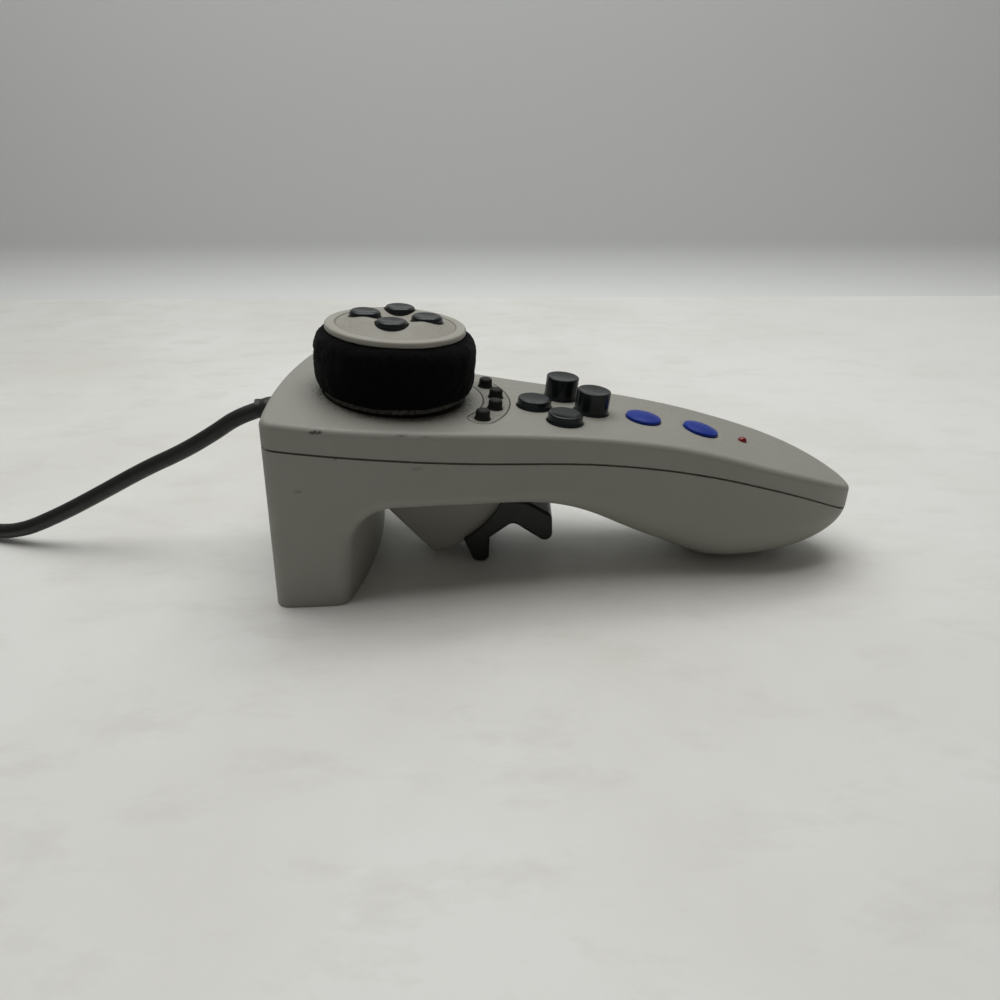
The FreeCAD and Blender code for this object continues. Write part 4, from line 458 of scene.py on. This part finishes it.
NODE_MATERIALS = {
    "casing": ["lower_housing", "upper_housing"],
    "panel": ["small_button_panel"],
    "cap": ["wheel_cap"],
    "drum": ["wheel_drum"],
    "dark_button": ["direction_button_left", "direction_button_right", "direction_button_near",
                    "direction_button_far", "face_button_left", "face_button_far", "face_button_right",
                    "face_button_near"],
    "small_button": ["small_button_1", "small_button_2", "small_button_3", "small_button_4"],
    "blue_button": ["centre_button_1", "centre_button_2"],
    "trigger": ["trigger"],
    "foam": ["foam_ring"],
    "cable": ["strain_relief", "cable_lead", "cable_coil", "cable_tail"],
    "plug": ["plug_body"],
    "tie": ["cable_tie"],
    "lamp": ["power_lamp"],
    "mat": ["small_button_mat", "face_button_mat", "centre_button_mat", "direction_button_mat"],
    "board": ["main_board", "wheel_board"],
    "parts": ["board_components", "board_connectors"],
    "inner": ["spindle_bush", "steering_gear", "steering_pinion", "steering_bracket"],
    "pot": ["steering_pot", "trigger_pot"],
    "lead": ["inner_lead", "wheel_lead"],
    "steel": ["centring_spring", "bracket_screws", "trigger_springs", "board_screws", "casing_screws",
              "wheel_board_screws", "spindle_clip", "steering_pot_shaft", "trigger_axle", "plug_shell"],
}


def dress_nodes():
    """Gives every CAD node its material."""
    for name, nodes in NODE_MATERIALS.items():
        for node in nodes:
            for slot in NODES[node].material_slots:
                slot.link = "OBJECT"
                slot.material = MATERIALS[name]


def wheel_matrix():
    """From the wheel's own frame, with its axis along Z, to the model's."""
    across = Vector((0, 1, 0))
    along = across.cross(WHEEL_AXIS).normalized()
    turn = Matrix((along, across, WHEEL_AXIS)).transposed().to_4x4()
    return Matrix.Translation(WHEEL_AT) @ turn


def mesh_object(name, points, faces, material, smooth=True):
    """A piece of the scene from its points and faces."""
    mesh = bpy.data.meshes.new(name)
    mesh.from_pydata(points, [], faces)
    mesh.update()
    if smooth:
        mesh.polygons.foreach_set("use_smooth", [True] * len(mesh.polygons))
    mesh.materials.append(material)
    piece = bpy.data.objects.new(name, mesh)
    bpy.context.collection.objects.link(piece)
    return piece


# Foam grip: half of its outline as (radius, height) from the drum round the outside to the cap
FOAM_OUTLINE = [(0.0210, 0.0023), (0.0246, 0.0023), (0.0262, 0.0028), (0.0273, 0.0045), (0.0279, 0.0074),
                (0.0281, 0.0108), (0.0281, 0.0140), (0.0280, 0.0168), (0.0275, 0.0190), (0.0266, 0.0206),
                (0.0254, 0.0216), (0.0243, 0.0221), (0.0236, 0.0222), (0.0210, 0.0222)]
FOAM_STEPS_ROUND = 420
FOAM_STEPS_OVER = 76
FOAM_HELD = 0.0228        # out to this radius the drum and the cap hold the foam smooth
FOAM_LOOSENS = 0.002      # and this far beyond it its relief is at full depth
FOAM_WAVE = 0.00042
FOAM_DENTS = 0.00028
FOAM_NAP = 0.00016
FOAM_FINE_NAP = 0.00010
CREASE_HEIGHT = 0.0152
CREASE_SWAY = 0.0005
CREASE_WIDTH = 0.0009
CREASE_DEPTH = 0.0010
FRONT_FLATTENING = 0.0003


def smooth_line(points, count, fineness=12):
    """Evenly spaced points on a smooth curve through the given ones."""
    def at(i, share):
        p0, p1, p2, p3 = (points[max(0, min(len(points) - 1, i + k))] for k in (-1, 0, 1, 2))
        return tuple(0.5 * (2 * b + (c - a) * share + (2 * a - 5 * b + 4 * c - d) * share ** 2
                            + (3 * b - a - 3 * c + d) * share ** 3) for a, b, c, d in zip(p0, p1, p2, p3))
    dense = [at(i, k / fineness) for i in range(len(points) - 1) for k in range(fineness)]
    dense.append(points[-1])
    lengths = [0.0]
    for a, b in zip(dense, dense[1:]):
        lengths.append(lengths[-1] + math.dist(a, b))
    result = []
    spot = 0
    for k in range(count):
        wanted = lengths[-1] * k / (count - 1)
        while spot < len(lengths) - 2 and lengths[spot + 1] < wanted:
            spot += 1
        share = (wanted - lengths[spot]) / max(1e-9, lengths[spot + 1] - lengths[spot])
        result.append(tuple(a + (b - a) * share for a, b in zip(dense[spot], dense[spot + 1])))
    return result


def foam_ring():
    """The foam grip: a bulging ring with a wavy side, a rolled top edge and a napped surface."""
    line = smooth_line(FOAM_OUTLINE, FOAM_STEPS_OVER)
    place = wheel_matrix()
    points = []
    for i in range(FOAM_STEPS_ROUND):
        angle = 2 * math.pi * i / FOAM_STEPS_ROUND
        for k, (radius, height) in enumerate(line):
            before = line[max(0, k - 1)]
            after = line[min(len(line) - 1, k + 1)]
            run = Vector((after[0] - before[0], after[1] - before[1])).normalized()
            outward = Vector((run.y, -run.x))
            free = min(1.0, max(0.0, (radius - FOAM_HELD) / FOAM_LOOSENS))
            spot = Vector((radius * math.cos(angle), radius * math.sin(angle), height))
            wave = FOAM_WAVE * noise.noise(Vector((spot.x, spot.y, spot.z * 0.8)) * 95.0)
            dents = FOAM_DENTS * noise.noise(spot * 260.0 + Vector((7, 3, 1)))
            nap = FOAM_NAP * noise.noise(spot * 900.0) + FOAM_FINE_NAP * noise.noise(spot * 2100.0)
            front = max(0.0, math.cos(angle - math.pi))
            off_crease = height - CREASE_HEIGHT - CREASE_SWAY * math.sin(3 * angle)
            crease = CREASE_DEPTH * math.exp(-(off_crease / CREASE_WIDTH) ** 2)
            push = free * (wave + dents + nap - crease * front ** 3 - FRONT_FLATTENING * front ** 2)
            r = radius + outward.x * push
            z = height + outward.y * push
            points.append(place @ Vector((r * math.cos(angle), r * math.sin(angle), z)))
    faces = []
    count = len(line)
    for i in range(FOAM_STEPS_ROUND):
        j = (i + 1) % FOAM_STEPS_ROUND
        for k in range(count):
            n = (k + 1) % count
            faces.append((i * count + k, j * count + k, j * count + n, i * count + n))
    piece = mesh_object("foam_grip", points, faces, MATERIALS["foam"])
    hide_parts("foam_ring")
    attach(piece, "wheel")
    return piece


def coil_point(turn):
    """The middle of the cable after some turns of its coil, as in the part's source."""
    flip = COIL_TURNS + COIL_CROSSING / 2
    inward = flip - abs(turn - flip)
    radius = COIL_OUTER - COIL_PITCH * inward
    rise = min(max((turn - COIL_TURNS) / COIL_CROSSING, 0.0), 1.0)
    height = COIL_LIFT + CABLE_RADIUS + COIL_RISE * (3 * rise ** 2 - 2 * rise ** 3)
    angle = math.pi / 2 + 2 * math.pi * turn
    return (COIL_CENTRE[0] + radius * math.cos(angle), COIL_CENTRE[1] + radius * math.sin(angle), height)


def cable():
    """The whole cable on one smooth curve: the hanging lead, the coil and the tail to the plug."""
    route = list(LEAD_ROUTE[:-1])
    steps = round(COIL_END * COIL_POINTS_PER_TURN)
    route += [coil_point(COIL_END * i / steps) for i in range(steps + 1)]
    x, y, z = coil_point(COIL_END)
    side = y + TAIL_SIDE
    lie = PLUG_HEIGHT / 2
    route += [(x + TAIL_STEPS[0], y, z), (x + TAIL_STEPS[1], side, lie), (x + TAIL_STEPS[2], side, lie)]
    curve = bpy.data.curves.new("cable", "CURVE")
    curve.dimensions = "3D"
    spline = curve.splines.new("NURBS")
    spline.points.add(len(route) - 1)
    for point, spot in zip(spline.points, route):
        point.co = (*spot, 1.0)
    spline.order_u = 3
    spline.use_endpoint_u = True
    spline.resolution_u = 6
    curve.bevel_depth = CABLE_RADIUS
    curve.bevel_resolution = 5
    curve.use_fill_caps = True
    curve.materials.append(MATERIALS["cable"])
    piece = bpy.data.objects.new("cable", curve)
    bpy.context.collection.objects.link(piece)
    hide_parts("cable_lead", "cable_coil", "cable_tail")
    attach(piece, "casing")
    return piece


# Stage: a floor that curves up into the backdrop
STAGE_REACH = 1.6
FLOOR_BACK = 0.46
COVE_RADIUS = 0.045
COVE_STEPS = 12
BACKDROP_HEIGHT = 1.6
BACKDROP_LEAN = 0.1
FLOOR_PAINTED_LIGHT = (0.0, 0.5)  # painted light: the floor grows paler from the first X to the second


def floor_material():
    """Pale stone with faint grey clouds and veins and a few dark specks, and painted light that makes it
    paler to the right.
    """
    paint = Paint("floor_stone", srgb(226, 226, 222), 0.42, 0.3)
    clouds = paint.step(paint.noise(7.0, 6.0, 0.6), 0.42, 0.70)
    veins = paint.step(paint.noise(26.0, 8.0, 0.65, (1.0, 2.2, 1.0)), 0.52, 0.66)
    pale = paint.mix(clouds, srgb(231, 231, 228), srgb(221, 220, 214))
    veined = paint.over(pale, srgb(208, 206, 199), veins, 0.35)
    # painted light: the floor is made paler towards the right
    right = paint.step(paint.xyz()[0], *FLOOR_PAINTED_LIGHT)
    surface = paint.over(veined, srgb(246, 247, 246), right, 0.8)
    specks = paint.step(paint.noise(420.0, 3.0, 0.7), 0.74, 0.78)
    paint.colour(paint.over(surface, srgb(150, 146, 138), specks, 0.4))
    return paint.material


def backdrop_material():
    """Plain paper that takes the floor's tone at its foot."""
    paper = srgb(208, 210, 210)
    paint = Paint("backdrop_paper", paper, 0.9, 0.1)
    rise = paint.step(paint.xyz()[2], 0.0, COVE_RADIUS)
    paint.colour(paint.mix(rise, srgb(222, 224, 223), paper))
    return paint.material


def stage():
    """A pale floor with a plain backdrop that rises from it in a soft curve."""
    floor = mesh_object("floor", [(-STAGE_REACH, -STAGE_REACH, 0), (STAGE_REACH, -STAGE_REACH, 0),
                                  (STAGE_REACH, FLOOR_BACK, 0), (-STAGE_REACH, FLOOR_BACK, 0)],
                        [(0, 1, 2, 3)], floor_material(), smooth=False)
    rows = []
    for i in range(COVE_STEPS + 1):
        angle = math.pi / 2 * i / COVE_STEPS
        rows.append((FLOOR_BACK + COVE_RADIUS * math.sin(angle), COVE_RADIUS * (1 - math.cos(angle))))
    rows.append((FLOOR_BACK + COVE_RADIUS + BACKDROP_LEAN, BACKDROP_HEIGHT))
    points = [(x, y, z) for y, z in rows for x in (-STAGE_REACH, STAGE_REACH)]
    faces = [(2 * i, 2 * i + 1, 2 * i + 3, 2 * i + 2) for i in range(len(rows) - 1)]
    mesh_object("backdrop", points, faces, backdrop_material())


# Lights: name, place, target, size, power and colour, and the dim room round them
LIGHTS = [("overhead", (-0.06, 0.16, 0.95), (0, 0.02, 0), (1.1, 0.6), 6.5, (1.0, 0.995, 0.98)),
          ("window", (-0.10, 0.40, 0.80), (0, 0, 0.05), (1.3, 0.3), 1.7, (0.97, 0.99, 1.0))]
ROOM_COLOUR = (1.0, 0.96, 0.89, 1.0)
ROOM_STRENGTH = 0.12
ROOM_SEEN = srgb(172, 174, 173)


def area_light(name, spot, target, size, power, colour):
    """A rectangular light that faces its target."""
    light = bpy.data.lights.new(name, "AREA")
    light.shape = "RECTANGLE"
    light.size, light.size_y = size
    light.energy = power
    light.color = colour
    piece = bpy.data.objects.new(name, light)
    piece.location = spot
    piece.rotation_mode = "QUATERNION"
    piece.rotation_quaternion = (Vector(target) - Vector(spot)).to_track_quat("-Z", "Y")
    bpy.context.collection.objects.link(piece)


def lights():
    """Broad light from above and behind, in a dim room that looks as pale as the backdrop."""
    for light in LIGHTS:
        area_light(*light)
    world = bpy.data.worlds.new("room")
    world.use_nodes = True
    nodes = world.node_tree.nodes
    room = nodes["Background"]
    room.inputs["Color"].default_value = ROOM_COLOUR
    room.inputs["Strength"].default_value = ROOM_STRENGTH
    seen = nodes.new("ShaderNodeBackground")
    seen.inputs["Color"].default_value = ROOM_SEEN
    choice = nodes.new("ShaderNodeMixShader")
    links = world.node_tree.links
    links.new(nodes.new("ShaderNodeLightPath").outputs["Is Camera Ray"], choice.inputs["Fac"])
    links.new(room.outputs["Background"], choice.inputs[1])
    links.new(seen.outputs["Background"], choice.inputs[2])
    links.new(choice.outputs["Shader"], nodes["World Output"].inputs["Surface"])
    bpy.context.scene.world = world


def camera():
    """The photograph's camera."""
    flat = math.cos(CAMERA_PITCH)
    forward = Vector((math.sin(CAMERA_YAW) * flat, math.cos(CAMERA_YAW) * flat, -math.sin(CAMERA_PITCH)))
    level = Vector((math.cos(CAMERA_YAW), -math.sin(CAMERA_YAW), 0))
    down = forward.cross(level)
    right = level * math.cos(CAMERA_ROLL) + down * math.sin(CAMERA_ROLL)
    down = down * math.cos(CAMERA_ROLL) - level * math.sin(CAMERA_ROLL)
    data = bpy.data.cameras.new("camera")
    data.sensor_width = SENSOR_WIDTH
    data.lens = SENSOR_WIDTH * FOCAL_PIXELS / PHOTO_WIDTH
    data.clip_start = 0.01
    piece = bpy.data.objects.new("camera", data)
    turn = Matrix((right, -down, -forward)).transposed().to_4x4()
    piece.matrix_world = Matrix.Translation(CAMERA_AT) @ turn
    bpy.context.collection.objects.link(piece)
    bpy.context.scene.camera = piece


camera()
dress_nodes()
cable()
foam_ring()
stage()
lights()
bpy.context.scene.view_settings.view_transform = "Standard"
